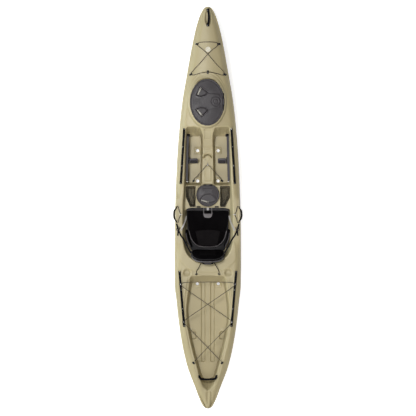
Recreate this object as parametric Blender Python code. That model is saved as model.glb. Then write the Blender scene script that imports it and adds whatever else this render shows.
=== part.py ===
"""A sit-on-top fishing kayak: a hollow moulded hull with its hatches, tracks, foot braces, bungees and seat.

Metres. The bow points along +Y, starboard is +X, up is +Z, and the keel touches z = 0 under the middle.
"""

import math

import bmesh
import bpy
from mathutils import Matrix, Vector

# Overall hull
LENGTH = 4.27
BEAM = 0.711
WALL = 0.0055
GAP = 0.0003
SLACK = 0.0008
TIP_SOLID = 0.05
CHAMFER = 0.018
STATIONS = 28

# Curves along the hull: the share of half the length from the middle, then the value there.
PLAN = ((-1, 0.03), (-0.996, 0.09), (-0.986, 0.145), (-0.947, 0.262), (-0.907, 0.352), (-0.787, 0.622),
        (-0.668, 0.785), (-0.549, 0.889), (-0.469, 0.94), (-0.39, 0.992), (-0.25, 1.0), (-0.111, 0.996),
        (0.207, 0.934), (0.407, 0.847), (0.525, 0.768), (0.685, 0.605), (0.844, 0.425), (0.939, 0.273),
        (0.978, 0.172), (0.994, 0.1), (1, 0.03))
KEEL = ((-1, 0.215), (-0.97, 0.125), (-0.9, 0.065), (-0.75, 0.025), (-0.5, 0.004), (-0.3, 0), (0.3, 0),
        (0.5, 0.004), (0.75, 0.03), (0.9, 0.085), (0.97, 0.155), (1, 0.265))
SEAM = ((-1, 0.275), (-0.8, 0.235), (-0.4, 0.205), (0.3, 0.2), (0.7, 0.235), (1, 0.31))
GUNWALE = ((-1, 0.305), (-0.8, 0.292), (-0.3, 0.285), (0.3, 0.287), (0.7, 0.305), (1, 0.335))
CROWN = ((-1, 0.004), (-0.9, 0.008), (-0.75, 0.002), (-0.1, 0), (0.2, 0), (0.4, 0.028), (0.55, 0.042),
         (0.7, 0.04), (0.85, 0.025), (1, 0.003))
# Hull section from keel to seam: share of the half beam, share of the height from keel to seam.
BOTTOM = ((0, 0), (0.3, 0), (0.58, 0.08), (0.82, 0.3), (1, 1))
DECK_SHARES = (1, 0.75, 0.4, 0)

# Levels inside the cockpit
PLATFORM_Z = 0.2
FOOTWELL_Z = 0.085
TRAY_Z = 0.1
SEAT_Z = 0.11
TANKWELL_Z = 0.155
CUT_TOP_Z = 0.5

# Wells: half outlines from front to back as (x, y, corner reach), at the top and at the floor.
COCKPIT_TOP = ((0.232, 0.864, 0.035), (0.248, 0.25, 0.1), (0.268, 0.0, 0.1), (0.267, -0.34, 0.06),
               (0.235, -0.49, 0.07), (0.125, -0.578, 0.05), (0, -0.598, 0.04))
COCKPIT_FLOOR = ((0.226, 0.8, 0.03), (0.238, 0.25, 0.1), (0.247, 0.0, 0.1), (0.247, -0.34, 0.055),
                 (0.218, -0.478, 0.06), (0.115, -0.558, 0.05), (0, -0.575, 0.04))
SEAT_WELL_TOP = ((0.24, -0.014, 0.03), (0.242, -0.33, 0.055), (0.212, -0.47, 0.06), (0.11, -0.548, 0.05),
                 (0, -0.565, 0.04))
SEAT_WELL_FLOOR = ((0.232, -0.024, 0.02), (0.234, -0.325, 0.05), (0.2, -0.46, 0.06), (0.1, -0.53, 0.05),
                   (0, -0.55, 0.04))
TANKWELL_TOP = ((0.176, -0.7255, 0.03), (0.226, -1.128, 0.18), (0.167, -1.442, 0.12),
                (0.083, -1.782, 0.05), (0.058, -1.896, 0.04), (0, -1.952, 0.015))
TANKWELL_FLOOR = ((0.163, -0.79, 0.03), (0.212, -1.125, 0.17), (0.152, -1.44, 0.12),
                  (0.072, -1.765, 0.05), (0.05, -1.825, 0.03), (0, -1.845, 0.015))
# Side wells on starboard: corners as (x, y, corner reach).
FOOTWELL_TOP = ((0.056, 0.82, 0.03), (0.224, 0.82, 0.014), (0.237, 0.24, 0.025), (0.066, 0.24, 0.03))
FOOTWELL_FLOOR = ((0.072, 0.766, 0.02), (0.211, 0.766, 0.008), (0.224, 0.262, 0.02), (0.078, 0.262, 0.02))
TRAY_TOP = ((0.138, 0.222, 0.015), (0.2245, 0.222, 0.015), (0.228, 0.02, 0.015), (0.138, 0.02, 0.015))
TRAY_FLOOR = ((0.146, 0.212, 0.012), (0.216, 0.212, 0.012), (0.22, 0.03, 0.012), (0.146, 0.03, 0.012))
GROOVE_INNER_X = 0.029
GROOVE_OUTER_X = 0.07
GROOVE_FRONT_Y = -0.83
GROOVE_BACK_Y = -1.645
GROOVE_DEPTH = 0.012
DISH_AT = (0.219, -0.697)
DISH_HALF_WIDTH = 0.038
DISH_HALF_LENGTH = 0.045
DISH_DEPTH = 0.014
SCUPPER_RADIUS = 0.016
SCUPPERS = ((0.11, 0.612), (0.109, 0.287), (0.112, -0.815))

# Bow hatch
BOW_HATCH_AT = (-0.006, 1.118)
BOW_LID_HALF_WIDTH = 0.18
BOW_LID_HALF_LENGTH = 0.245
COAMING_AHEAD = 0.305
COAMING_BEHIND = 0.262
COAMING_HALF_WIDTH = 0.193
COAMING_RISE = 0.003
COAMING_FLARE = 0.008
BOW_HINGE_Y = (1.215, 1.035)
BOW_HINGE_INSET = 0.008
# Latches: pivot, direction of the shut lever and its swing to open, in degrees.
BOW_LATCHES = {"front": ((-0.074, 1.264), -116, 80), "rear": ((-0.064, 0.98), 131, -87)}
BOSS_AT = (0.088, 1.127)
BOSS_RADIUS = 0.054
BOSS_WIDTH = 0.008

# Centre hatch
CENTRE_HATCH_AT = (0, 0.136)
CENTRE_LID_RADIUS = 0.1205
CENTRE_CHORD_AHEAD = 0.1
CENTRE_HINGE_X = (-0.05, 0.05)
CENTRE_LATCH = ((0.0, 0.0595), 163, -146)

# Parts that both hatches share
RIM_WIDTH = 0.026
OPENING_INSET = 0.026
RIM_HEIGHT = 0.008
SEAL_WIDTH = 0.01
SEAL_DEPTH = 0.004
LID_THICKNESS = 0.012
LID_EDGE = 0.004
LID_CROWN = 0.008
RIM_OVERHANG = 0.004
KNUCKLES = 3
KNUCKLE_RADIUS = 0.005
KNUCKLE_REACH = 0.0078
HINGE_PIN_RADIUS = 0.002
PIN_CLEARANCE = 0.0006
LATCH_LENGTH = 0.074
LATCH_TIP_RADIUS = 0.006
LATCH_HEIGHT = 0.007
LATCH_HUB_RADIUS = 0.009
SPINDLE_RADIUS = 0.006
TONGUE_LENGTH = 0.026
TONGUE_THICKNESS = 0.004
LATCH_POCKET_DEPTH = 0.005
LATCH_POCKET_MARGIN = 0.0122

# Gear tracks
TRACK_WIDTH = 0.024
TRACK_HEIGHT = 0.011
TRACK_SLOT_WIDTH = 0.008
TRACK_SLOT_DEPTH = 0.007
TRACK_END = 0.018
TRACK_STAND = 0.004
TRACK_INSET = 0.053
FRONT_TRACK_Y = (0.842, 0.252)
REAR_TRACK_Y = (-0.671, -1.265)

# Foot braces
RAIL_DEPTH = 0.018
RAIL_HEIGHT = 0.032
RAIL_SLOT_DEPTH = 0.009
RAIL_SLOT_HEIGHT = 0.014
RAIL_Z = 0.165
RAIL_Y = (0.782, 0.282)
SLIDER_AT_Y = 0.505
SLIDER_LENGTH = 0.07
SLIDER_PLATE = 0.008
PEDAL_GAP = 0.002
PEDAL_WIDTH = 0.09
PEDAL_HEIGHT = 0.1
PEDAL_BELOW_PIN = 0.062
PEDAL_THICKNESS = 0.016
PEDAL_LEAN_DEG = 24
PEDAL_PIN_RADIUS = 0.004
PEDAL_PIN_LENGTH = 0.028

# Handles
BOW_HANDLE_Y = (2.086, 1.944)
BOW_HANDLE_WIDTH = 0.02
BOW_HANDLE_THICKNESS = 0.008
BOW_HANDLE_ARCH = 0.022
BOW_HOLLOW_HALF_WIDTH = 0.034
BOW_HOLLOW_DEPTH = 0.022
HANDLE_END_SIZE = 0.03
STERN_HANDLE_Y = -1.785
STERN_HANDLE_HALF_WIDTH = 0.088
STERN_HANDLE_ARM = 0.044
STERN_HANDLE_BOW = 0.01
STERN_GRIP_RADIUS = 0.01
SIDE_HANDLE_X = 0.332
SIDE_HANDLE_Y = (0.006, -0.152)
SIDE_HANDLE_REACH = 0.03
SIDE_HANDLE_DROOP_DEG = 20
SIDE_GRIP_RADIUS = 0.0085
HANDLE_ARM_RADIUS = 0.006
HANDLE_PIN_RADIUS = 0.004
HANDLE_PIN_LENGTH = 0.012
BORE_CLEARANCE = 0.0007
LUG_LENGTH = 0.013
LUG_WIDTH = 0.016
LUG_ABOVE_AXIS = 0.0075
SIDE_AXIS_RISE = 0.0125
STERN_AXIS_RISE = 0.018
BRACKET_THICKNESS = 0.003

# Bungees and their eyes
BUNGEE_DIAMETER = 0.006
SIDE_BUNGEE_DIAMETER = 0.005
CORD_RISE = 0.0048
CORD_STEP = 0.03
EYE_HALF_LENGTH = 0.0165
EYE_WIDTH = 0.006
EYE_THICKNESS = 0.0024
EYE_HEIGHT = 0.0128
EYE_INSIDE = 0.0085
BEND = (0.005, 0.0115)
CLEAT_SIZE = (0.018, 0.022, 0.011)
SUNK = 0.0005
# The bow bungee's eyes and the tankwell bungee's, on starboard
BOW_EYES = ((0.115, 1.735), (0.18, 1.414))
BOW_BENDS_DEG = (187, 165)
BOW_CENTRE_EYE = (0, 1.436)
BOW_CROSSING_Y = 1.627
BOW_DISC = ((0, 1.685), 0.026, 0.002)
TANKWELL_EYES_Y = (-0.813, -1.213)
# Cleats: the place on starboard and the way the cord leaves, in degrees from straight ahead to port.
TANKWELL_CLEAT = ((0.159, -1.65), 44)
CONSOLE_CLEAT = ((0.163, 0.286), 42)
CONSOLE_EYE = (0, 0.462)
CONSOLE_BOSS = ((0, 0.533), 0.035, 0.004)
CONSOLE_PAD = ((0, 0.368), (0.064, 0.152), 0.004)
SIDE_EYE = (0.285, -0.073)
REAR_STRAP_AT = (0.12, -0.7)

# Seat
SEAT_BASE_INSET = 0.012
SEAT_BASE_THICKNESS = 0.016
CUSHION_OUTLINE = ((0.229, -0.034, 0.025), (0.216, -0.22, 0.06), (0.192, -0.29, 0.03), (0.165, -0.36, 0.04),
                   (0.1, -0.415, 0.04), (0, -0.425, 0.03))
CUSHION_MIDDLE = (0, -0.2)
CUSHION_THICKNESS = 0.026
CUSHION_CROWN = 0.008
CUSHION_SIDE_PULL = 0.004
SEAM_Y = -0.24
CHANNEL_DEPTH = 0.004
CHANNEL_WIDTH = 0.014
PANEL_HALF_WIDTH = 0.118
BACK_LEAN_DEG = 22
BACK_AXIS = Vector((0, -0.45, 0.172))
BACK_OUTLINE = ((0.174, 0.3, 0.1), (0.17, 0.13, 0.06), (0.148, 0.014, 0.03))
BACK_MIDDLE = (0, 0.16)
BACK_SHELL_THICKNESS = 0.006
BACK_SHELL_SETBACK = 0.014
BACK_CUSHION_THICKNESS = 0.024
BACK_CUSHION_INSET = 0.006
BACK_BARREL_RADIUS = 0.0085
BACK_ROD_RADIUS = 0.004
BACK_LUG_X = 0.1
BACK_BARREL_X = 0.078
BACK_BARREL_LENGTH = 0.026
GRAB_HALF_WIDTH = 0.06
GRAB_HEIGHT = 0.272
GRAB_REACH = 0.03
GRAB_RADIUS = 0.008
STRAP_WIDTH = 0.018
NARROW_STRAP_WIDTH = 0.012
STRAP_THICKNESS = 0.0024
BUCKLE_SIZE = (0.026, 0.036, 0.008)
WING_ROUTE = ((0.2215, -0.235), (0.2165, -0.29), (0.203, -0.345), (0.184, -0.39))
WING_HEIGHT = 0.07
WING_THICKNESS = 0.012
LIFT_STRAP_X = 0.044
LIFT_TAB_Y = -0.087
LIFT_TAB_SIZE = (0.1, 0.042, 0.004)

# Mesh pockets
NET_ROWS = 6
NET_COLUMNS = 3
NET_STRAND = 0.0026
POCKET_INNER_X = 0.134
POCKET_OUTER_X = 0.2305
POCKET_FRONT_Y = 0.227
POCKET_BACK_Y = 0.012
POCKET_BEND_Y = 0.11
POCKET_TAIL_X = 0.186
POCKET_HEM = 0.008
POCKET_HEM_THICKNESS = 0.0034

COLOURS = {
    "hull": (0.50, 0.44, 0.29, 0.45, 0),
    "lid": (0.075, 0.068, 0.075, 0.55, 0),
    "rubber": (0.02, 0.02, 0.02, 0.8, 0),
    "track": (0.012, 0.012, 0.014, 0.4, 0),
    "rail": (0.06, 0.057, 0.062, 0.5, 0),
    "steel": (0.55, 0.55, 0.55, 0.3, 1),
    "cord": (0.10, 0.08, 0.055, 0.8, 0),
    "fabric": (0.012, 0.011, 0.012, 0.9, 0),
    "webbing": (0.014, 0.013, 0.015, 0.8, 0),
    "grey_webbing": (0.33, 0.31, 0.29, 0.8, 0),
    "fitting": (0.02, 0.018, 0.022, 0.45, 0),
    "net": (0.02, 0.02, 0.018, 0.8, 0),
}


# Numbers and outlines
def smooth(table, at):
    """The value at a place on a smooth curve through (place, value) pairs, which never overshoots them."""
    last = len(table) - 1
    at = min(max(at, table[0][0]), table[last][0])
    i = next(k for k in range(last) if at <= table[k + 1][0])

    def secant(k):
        return (table[k + 1][1] - table[k][1]) / (table[k + 1][0] - table[k][0])

    def slope(k):
        if k == 0 or k == last:
            return secant(min(k, last - 1))
        before, after = secant(k - 1), secant(k)
        return 2 * before * after / (before + after) if before * after > 0 else 0.0

    span = table[i + 1][0] - table[i][0]
    t = (at - table[i][0]) / span
    start, end = table[i][1], table[i + 1][1]
    value = start * (2 * t**3 - 3 * t**2 + 1) + end * (3 * t**2 - 2 * t**3)
    return value + span * (slope(i) * (t**3 - 2 * t**2 + t) + slope(i + 1) * (t**3 - t**2))


def along_hull(table, y):
    return smooth(table, 2 * y / LENGTH)


def half_beam(y):
    return BEAM / 2 * along_hull(PLAN, y)


def gunwale_x(y):
    """Half width of the deck's top, inside the chamfered edge."""
    return half_beam(y) - min(CHAMFER, 0.3 * half_beam(y))


def deck_z(x, y):
    share = min(1.0, abs(x) / gunwale_x(y))
    return along_hull(GUNWALE, y) + along_hull(CROWN, y) * (1 - share**2)


def mirrored(half, side=-1):
    """A whole outline from its starboard half, listed from front to back. A point at x = 0 stays single."""
    port = [(side * x, y, reach) for x, y, reach in reversed(half) if x > 0]
    return list(half) + port


def flipped(points, side):
    """Outline points mirrored to port where side is -1, in the order that keeps their turn."""
    if side > 0:
        return list(points)
    return [(-p[0],) + tuple(p[1:]) for p in reversed(points)]


def rounded(corners, steps=2):
    """An outline through corners (x, y, reach), each cut by a curve that starts and ends that far from it."""
    outline = []
    for i, (x, y, reach) in enumerate(corners):
        here = Vector((x, y))
        before = Vector(corners[i - 1][:2]) - here
        after = Vector(corners[(i + 1) % len(corners)][:2]) - here
        start = here + before.normalized() * min(reach, 0.48 * before.length)
        end = here + after.normalized() * min(reach, 0.48 * after.length)
        for step in range(steps + 1):
            t = step / steps
            outline.append(start * (1 - t) ** 2 + here * 2 * t * (1 - t) + end * t**2)
    return outline


def area(outline):
    return sum(a.x * b.y - b.x * a.y for a, b in zip(outline, outline[1:] + outline[:1])) / 2


def grown(outline, distance):
    """The outline moved outward by a distance, or inward where it is negative."""
    turn = 1 if area(outline) > 0 else -1
    moved = []
    for i, here in enumerate(outline):
        before = (here - outline[i - 1]).normalized()
        after = (outline[(i + 1) % len(outline)] - here).normalized()
        normals = [Vector((d.y, -d.x)) * turn for d in (before, after)]
        middle = (normals[0] + normals[1]).normalized()
        moved.append(here + middle * distance / max(0.5, middle.dot(normals[0])))
    return moved


def scaled(outline, share, centre):
    return [Vector(centre) + (p - Vector(centre)) * share for p in outline]


def egg(centre, half_width, ahead, behind, count=32):
    """An oval outline whose front half and back half may differ in length."""
    outline = []
    for i in range(count):
        angle = 2 * math.pi * (i + 0.5) / count
        length = ahead if math.sin(angle) > 0 else behind
        x, y = half_width * math.cos(angle), length * math.sin(angle)
        outline.append(Vector((centre[0] + x, centre[1] + y)))
    return outline


def at_height(outline, z):
    return [Vector((p.x, p.y, z)) for p in outline]


def turned(x, y, degrees):
    angle = math.radians(degrees)
    return (x * math.cos(angle) - y * math.sin(angle), x * math.sin(angle) + y * math.cos(angle))


def through(points, step, closed=False):
    """Points about a step apart on a smooth curve through the given ones."""
    route = [Vector(p) for p in points]
    if closed:
        route = [route[-1]] + route + route[:2]
    else:
        route = [2 * route[0] - route[1]] + route + [2 * route[-1] - route[-2]]
    found = []
    for a, b, c, d in zip(route, route[1:], route[2:], route[3:]):
        gaps = [math.sqrt((q - p).length) for p, q in ((a, b), (b, c), (c, d))]
        enter = (c - b) + gaps[1] * ((b - a) / gaps[0] - (c - a) / (gaps[0] + gaps[1]))
        leave = (c - b) + gaps[1] * ((d - c) / gaps[2] - (d - b) / (gaps[1] + gaps[2]))
        pieces = max(1, round((c - b).length / step))
        for k in range(pieces):
            t = k / pieces
            found.append(b * (2 * t**3 - 3 * t**2 + 1) + c * (3 * t**2 - 2 * t**3)
                         + enter * (t**3 - 2 * t**2 + t) + leave * (t**3 - t**2))
    if not closed:
        found.append(Vector(points[-1]))
    return found


# Objects
def clear_scene():
    for thing in list(bpy.data.objects):
        bpy.data.objects.remove(thing, do_unlink=True)


def finish_of(colour, name):
    material = bpy.data.materials.new(name)
    material.use_nodes = True
    red, green, blue, roughness, metallic = COLOURS[colour]
    shader = material.node_tree.nodes["Principled BSDF"]
    shader.inputs["Base Color"].default_value = (red, green, blue, 1)
    shader.inputs["Roughness"].default_value = roughness
    shader.inputs["Metallic"].default_value = metallic
    material.diffuse_color = (red, green, blue, 1)
    return material


def object_of(name, bm, colour=None, edge_deg=35):
    """An object made from a bmesh. Without a colour it is a hidden cutter or guide."""
    mesh = bpy.data.meshes.new(name)
    bmesh.ops.recalc_face_normals(bm, faces=bm.faces)
    bm.to_mesh(mesh)
    bm.free()
    made = bpy.data.objects.new(name, mesh)
    bpy.context.scene.collection.objects.link(made)
    if colour is None:
        made.hide_render = True
        made.display_type = "WIRE"
        return made
    mesh.materials.append(finish_of(colour, name))
    mesh.shade_smooth()
    mesh.set_sharp_from_angle(angle=math.radians(edge_deg))
    return made


def lofted(name, rings, colour=None, closed=False, edge_deg=35):
    """A solid skin over rings of points, with a face over each end unless the rings close on themselves."""
    bm = bmesh.new()
    loops = [[bm.verts.new(p) for p in ring] for ring in rings]
    pairs = list(zip(loops, loops[1:]))
    if closed:
        pairs.append((loops[-1], loops[0]))
    for low, high in pairs:
        for i in range(len(low)):
            j = (i + 1) % len(low)
            bm.faces.new((low[i], low[j], high[j], high[i]))
    if not closed:
        bm.faces.new(loops[0])
        bm.faces.new(loops[-1])
    bmesh.ops.triangulate(bm, faces=bm.faces)
    return object_of(name, bm, colour, edge_deg)


def slab(name, outline, low, high, colour=None):
    return lofted(name, [at_height(outline, low), at_height(outline, high)], colour)


def rod(name, start, end, radius, sides=10, colour=None):
    """A round bar between two points."""
    start, end = Vector(start), Vector(end)
    across = (end - start).orthogonal().normalized()
    over = (end - start).normalized().cross(across)
    rings = []
    for middle in (start, end):
        angles = [2 * math.pi * i / sides for i in range(sides)]
        rings.append([middle + radius * (across * math.cos(a) + over * math.sin(a)) for a in angles])
    return lofted(name, rings, colour)


def sweep(name, path, profile, colour=None, across=None):
    """A bar along a path, from a profile of (across, up) points. Across is level and square to the path."""
    rings = []
    path = [Vector(p) for p in path]
    for i, here in enumerate(path):
        ahead = (path[min(i + 1, len(path) - 1)] - path[max(i - 1, 0)]).normalized()
        side = Vector(across) if across else ahead.cross(Vector((0, 0, 1)))
        side.normalize()
        up = side.cross(ahead).normalized()
        rings.append([here + side * s + up * u for s, u in profile])
    return lofted(name, rings, colour)


def strip(name, path, width, thickness, colour=None, across=None):
    half, rise = width / 2, thickness / 2
    return sweep(name, path, ((-half, -rise), (half, -rise), (half, rise), (-half, rise)), colour, across)


def block(name, centre, size, colour=None, degrees=0.0):
    """A box about its centre, turned about the vertical."""
    length = Vector((*turned(0, size[1] / 2, degrees), 0))
    middle = Vector(centre)
    return strip(name, [middle - length, middle + length], size[0], size[2], colour)


def bar(name, points, radii, colour=None, sides=8):
    """A round bar through points, with its own radius at each."""
    rings = []
    across = None
    points = [Vector(p) for p in points]
    for i, here in enumerate(points):
        ahead = (points[min(i + 1, len(points) - 1)] - points[max(i - 1, 0)]).normalized()
        across = ahead.orthogonal() if across is None else across - ahead * across.dot(ahead)
        across.normalize()
        over = ahead.cross(across)
        angles = [2 * math.pi * (k + 0.5) / sides for k in range(sides)]
        rings.append([here + radii[i] * (across * math.cos(a) + over * math.sin(a)) for a in angles])
    return lofted(name, rings, colour)


def ring(name, outline, profile, colour=None):
    """A band round an outline, from a profile of (inset, z) points."""
    bands = [at_height(grown(outline, -inset), z) for inset, z in profile]
    return lofted(name, bands, colour, closed=True)


def tube(name, points, diameter, colour, closed=False):
    """A cord along a route: a curve with a round bevel."""
    curve = bpy.data.curves.new(name, "CURVE")
    curve.dimensions = "3D"
    curve.bevel_depth = diameter / 2
    curve.bevel_resolution = 2
    curve.use_fill_caps = not closed
    spline = curve.splines.new("POLY")
    spline.points.add(len(points) - 1)
    for slot, point in zip(spline.points, points):
        slot.co = (*point, 1)
    spline.use_cyclic_u = closed
    spline.use_smooth = True
    made = bpy.data.objects.new(name, curve)
    bpy.context.scene.collection.objects.link(made)
    curve.materials.append(finish_of(colour, name))
    return made


def combine(target, operation, *others):
    for other in others:
        change = target.modifiers.new(other.name, "BOOLEAN")
        change.operation = operation
        change.solver = "EXACT"
        change.object = other
        other.hide_render = True
        other.display_type = "WIRE"
    return target


def unite(target, *others):
    return combine(target, "UNION", *others)


def cut(target, *others):
    return combine(target, "DIFFERENCE", *others)


def placed(made, frame):
    """The object's mesh moved from the origin into a frame."""
    made.data.transform(frame)
    return made


def pivot_at(made, point):
    """The object's origin put on its joint's axis, with its form left where it is."""
    made.data.transform(Matrix.Translation(-Vector(point)))
    made.location = point


# Hull
def section(y, inset=0.0):
    """The hull's outline across the boat at a station, from the keel round by starboard."""
    beam = half_beam(y)
    keel, seam, gunwale = (along_hull(table, y) for table in (KEEL, SEAM, GUNWALE))
    edge = gunwale_x(y)
    starboard = [Vector((x * beam, keel + z * (seam - keel))) for x, z in BOTTOM]
    starboard.append(Vector((beam - 0.3 * (beam - edge), seam + 0.62 * (gunwale - seam))))
    starboard += [Vector((x * edge, deck_z(x * edge, y))) for x in DECK_SHARES]
    port = [Vector((-p.x, p.y)) for p in reversed(starboard[1:-1])]
    outline = grown(starboard + port, -inset) if inset else starboard + port
    return [Vector((p.x, y, p.y)) for p in outline]


def hull_skin(name, reach, inset=0.0, colour=None):
    """The hull's whole outer form, or its hollow where inset is a wall's thickness."""
    stations = STATIONS if colour else STATIONS * 2 // 3
    places = [math.sin(math.pi / 2 * (2 * i / stations - 1)) for i in range(stations + 1)]
    return lofted(name, [section(reach * place, inset) for place in places], colour)


def well(name, top, floor, floor_z, grow, top_z=CUT_TOP_Z, rim_z=None):
    """A cutter for a moulded hollow: from the floor's outline up to the top's outline, then straight up."""
    rim_z = rim_z or along_hull(GUNWALE, 0)
    low, high = grown(rounded(floor), grow), grown(rounded(top), grow)
    corner = 0.012
    eased = [a.lerp(b, corner / (rim_z - floor_z)) for a, b in zip(low, high)]
    rings = [at_height(grown(low, -corner / 2), floor_z - grow), at_height(eased, floor_z + corner - grow),
             at_height(high, rim_z), at_height(high, top_z)]
    return lofted(name, rings)


def dish(name, centre, half_width, ahead, behind, low_z, high_z, grow, flare=0.012):
    wide = grown(egg(centre, half_width, ahead, behind, 12 if grow else 16), grow)
    rings = [at_height(grown(wide, -flare), low_z - grow),
             at_height(grown(wide, -0.2 * flare), high_z - grow),
             at_height(wide, high_z + 0.1)]
    return lofted(name, rings)


def track_line(side, span):
    """The two ends of a gear track's centre line at its foot, at one distance from the hull's side."""
    ends = []
    for y in span:
        x = side * (half_beam(y) - TRACK_INSET)
        ends.append(Vector((x, y, deck_z(x, y) - TRACK_STAND)))
    return ends


def track_beds(grow):
    beds = []
    for side in (-1, 1):
        for span in (FRONT_TRACK_Y, REAR_TRACK_Y):
            front, back = track_line(side, span)
            ahead = (front - back).normalized() * (0.002 + grow)
            lift = Vector((0, 0, 0.05))
            path = [front + ahead + lift, back - ahead + lift]
            path = [p + Vector((0, 0, -0.001 - grow)) for p in path]
            beds.append(strip("track_bed_cutter", path, TRACK_WIDTH + 0.003 + 2 * grow, 2 * lift.z))
    return beds


def hollows(grow):
    """Every hollow in the deck, each moved outward by grow."""
    cuts = [
        well("cockpit_cutter", mirrored(COCKPIT_TOP), mirrored(COCKPIT_FLOOR), PLATFORM_Z, grow),
        well("seat_well_cutter", mirrored(SEAT_WELL_TOP), mirrored(SEAT_WELL_FLOOR), SEAT_Z, grow,
             rim_z=PLATFORM_Z, top_z=PLATFORM_Z + 0.03),
        well("tankwell_cutter", mirrored(TANKWELL_TOP), mirrored(TANKWELL_FLOOR), TANKWELL_Z, grow),
    ]
    for side in (-1, 1):
        cuts.append(well("footwell_cutter", flipped(FOOTWELL_TOP, side), flipped(FOOTWELL_FLOOR, side),
                         FOOTWELL_Z, grow, rim_z=PLATFORM_Z, top_z=PLATFORM_Z + 0.03))
        cuts.append(well("tray_cutter", flipped(TRAY_TOP, side), flipped(TRAY_FLOOR, side),
                         TRAY_Z, grow, rim_z=PLATFORM_Z, top_z=PLATFORM_Z + 0.03))
        middle = side * (GROOVE_INNER_X + GROOVE_OUTER_X) / 2
        half = (GROOVE_OUTER_X - GROOVE_INNER_X) / 2
        slot = [(middle - half, GROOVE_FRONT_Y, half), (middle + half, GROOVE_FRONT_Y, half),
                (middle + half, GROOVE_BACK_Y, half), (middle - half, GROOVE_BACK_Y, half)]
        cuts.append(slab("groove_cutter", grown(rounded(slot), grow), TANKWELL_Z - GROOVE_DEPTH - grow,
                         TANKWELL_Z + 0.05))
        at = (side * DISH_AT[0], DISH_AT[1])
        rim = deck_z(*at)
        cuts.append(dish("dish_cutter", at, DISH_HALF_WIDTH, DISH_HALF_LENGTH, DISH_HALF_LENGTH,
                         rim - DISH_DEPTH, rim, grow))
        for x, y in SCUPPERS:
            cuts.append(rod("scupper_cutter", (side * x, y, -0.1), (side * x, y, TANKWELL_Z + 0.1),
                            SCUPPER_RADIUS + grow, 6 if grow else 10))
    middle_y = sum(BOW_HANDLE_Y) / 2
    half_length = (BOW_HANDLE_Y[0] - BOW_HANDLE_Y[1]) / 2
    rim = deck_z(0, middle_y)
    cuts.append(dish("bow_hollow_cutter", (0, middle_y), BOW_HOLLOW_HALF_WIDTH, 0.8 * half_length,
                     half_length, rim - BOW_HOLLOW_DEPTH, rim, grow))
    return cuts + track_beds(grow)


def coaming_top_z():
    return deck_z(BOW_HATCH_AT[0], BOW_HATCH_AT[1] + BOW_LID_HALF_LENGTH) + COAMING_RISE


def coaming(name, inset):
    """The raised flat seat that the bow hatch stands on, sloping down ahead of it."""
    top = coaming_top_z() - inset
    foot = egg(BOW_HATCH_AT, COAMING_HALF_WIDTH + COAMING_FLARE, COAMING_AHEAD + COAMING_FLARE,
               COAMING_BEHIND + COAMING_FLARE, 24)
    seat = egg(BOW_HATCH_AT, COAMING_HALF_WIDTH, COAMING_BEHIND, COAMING_BEHIND, 24)
    rings = [at_height(grown(foot, -inset), top - drop) for drop in (0.06, 0.03)]
    return lofted(name, rings + [at_height(grown(seat, -inset), top)])


def bow_lid_outline():
    return egg(BOW_HATCH_AT, BOW_LID_HALF_WIDTH, BOW_LID_HALF_LENGTH, BOW_LID_HALF_LENGTH, 28)


def centre_lid_outline(count=24):
    """A circle with one straight side across its front."""
    corner = math.asin(CENTRE_CHORD_AHEAD / CENTRE_LID_RADIUS)
    sweep = math.pi + 2 * corner
    outline = []
    for i in range(count):
        angle = corner - sweep * i / (count - 1)
        spoke = Vector((math.cos(angle), math.sin(angle)))
        outline.append(Vector(CENTRE_HATCH_AT) + CENTRE_LID_RADIUS * spoke)
    return outline


def cleat(point, degrees, side):
    """A block for a cord's end, let a little into what it stands on."""
    width, length, height = CLEAT_SIZE
    middle = Vector((side * point[0], point[1], point[2] + height / 2 - SUNK))
    return block("cleat_form", middle, (width, length, height), degrees=side * degrees)


def cleat_end(point, degrees, side):
    """Where a cord starts in front of a cleat, and a point a little further along its way."""
    ends = []
    for ahead in (CLEAT_SIZE[1] / 2 + GAP, CLEAT_SIZE[1] / 2 + 0.02):
        x, y = turned(0, ahead, side * degrees)
        ends.append(Vector((side * point[0] + x, point[1] + y, point[2] + CLEAT_SIZE[2] / 2)))
    return ends


def make_hull():
    hull = hull_skin("hull", LENGTH / 2, colour="hull")
    unite(hull, coaming("coaming_form", 0))
    cut(hull, *hollows(0))
    at, radius, rise = CONSOLE_BOSS
    boss = egg(at, radius, radius, radius, 16)
    unite(hull, slab("console_boss", boss, PLATFORM_Z - 0.003, PLATFORM_Z + rise))
    (x, y), (width, length), rise = CONSOLE_PAD
    unite(hull, block("console_pad", (x, y, PLATFORM_Z + rise / 2 - 0.0015), (width, length, rise + 0.003)))
    at, radius, rise = BOW_DISC
    disc = slab("bow_disc", egg((0, 0), radius, radius, radius, 16), -0.003, rise - SLACK)
    unite(hull, placed(disc, deck_frame(*at)))
    for side in (-1, 1):
        at, degrees = CONSOLE_CLEAT
        unite(hull, cleat((*at, FOOTWELL_Z), degrees, side))
        at, degrees = TANKWELL_CLEAT
        unite(hull, cleat((*at, deck_z(*at)), degrees, side))
    hollow = hull_skin("hull_hollow", LENGTH / 2 - TIP_SOLID, inset=1.1 * WALL)
    unite(hollow, coaming("coaming_hollow", WALL))
    cut(hollow, *hollows(WALL))
    cut(hull, hollow)
    top = coaming_top_z()
    bow_opening = grown(bow_lid_outline(), -OPENING_INSET)
    centre_opening = grown(centre_lid_outline(), -OPENING_INSET)
    cut(hull, slab("bow_opening_cutter", bow_opening, top - 0.04, top + 0.05))
    cut(hull, slab("centre_opening_cutter", centre_opening, PLATFORM_Z - 0.02, PLATFORM_Z + 0.05))
    return hull


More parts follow.
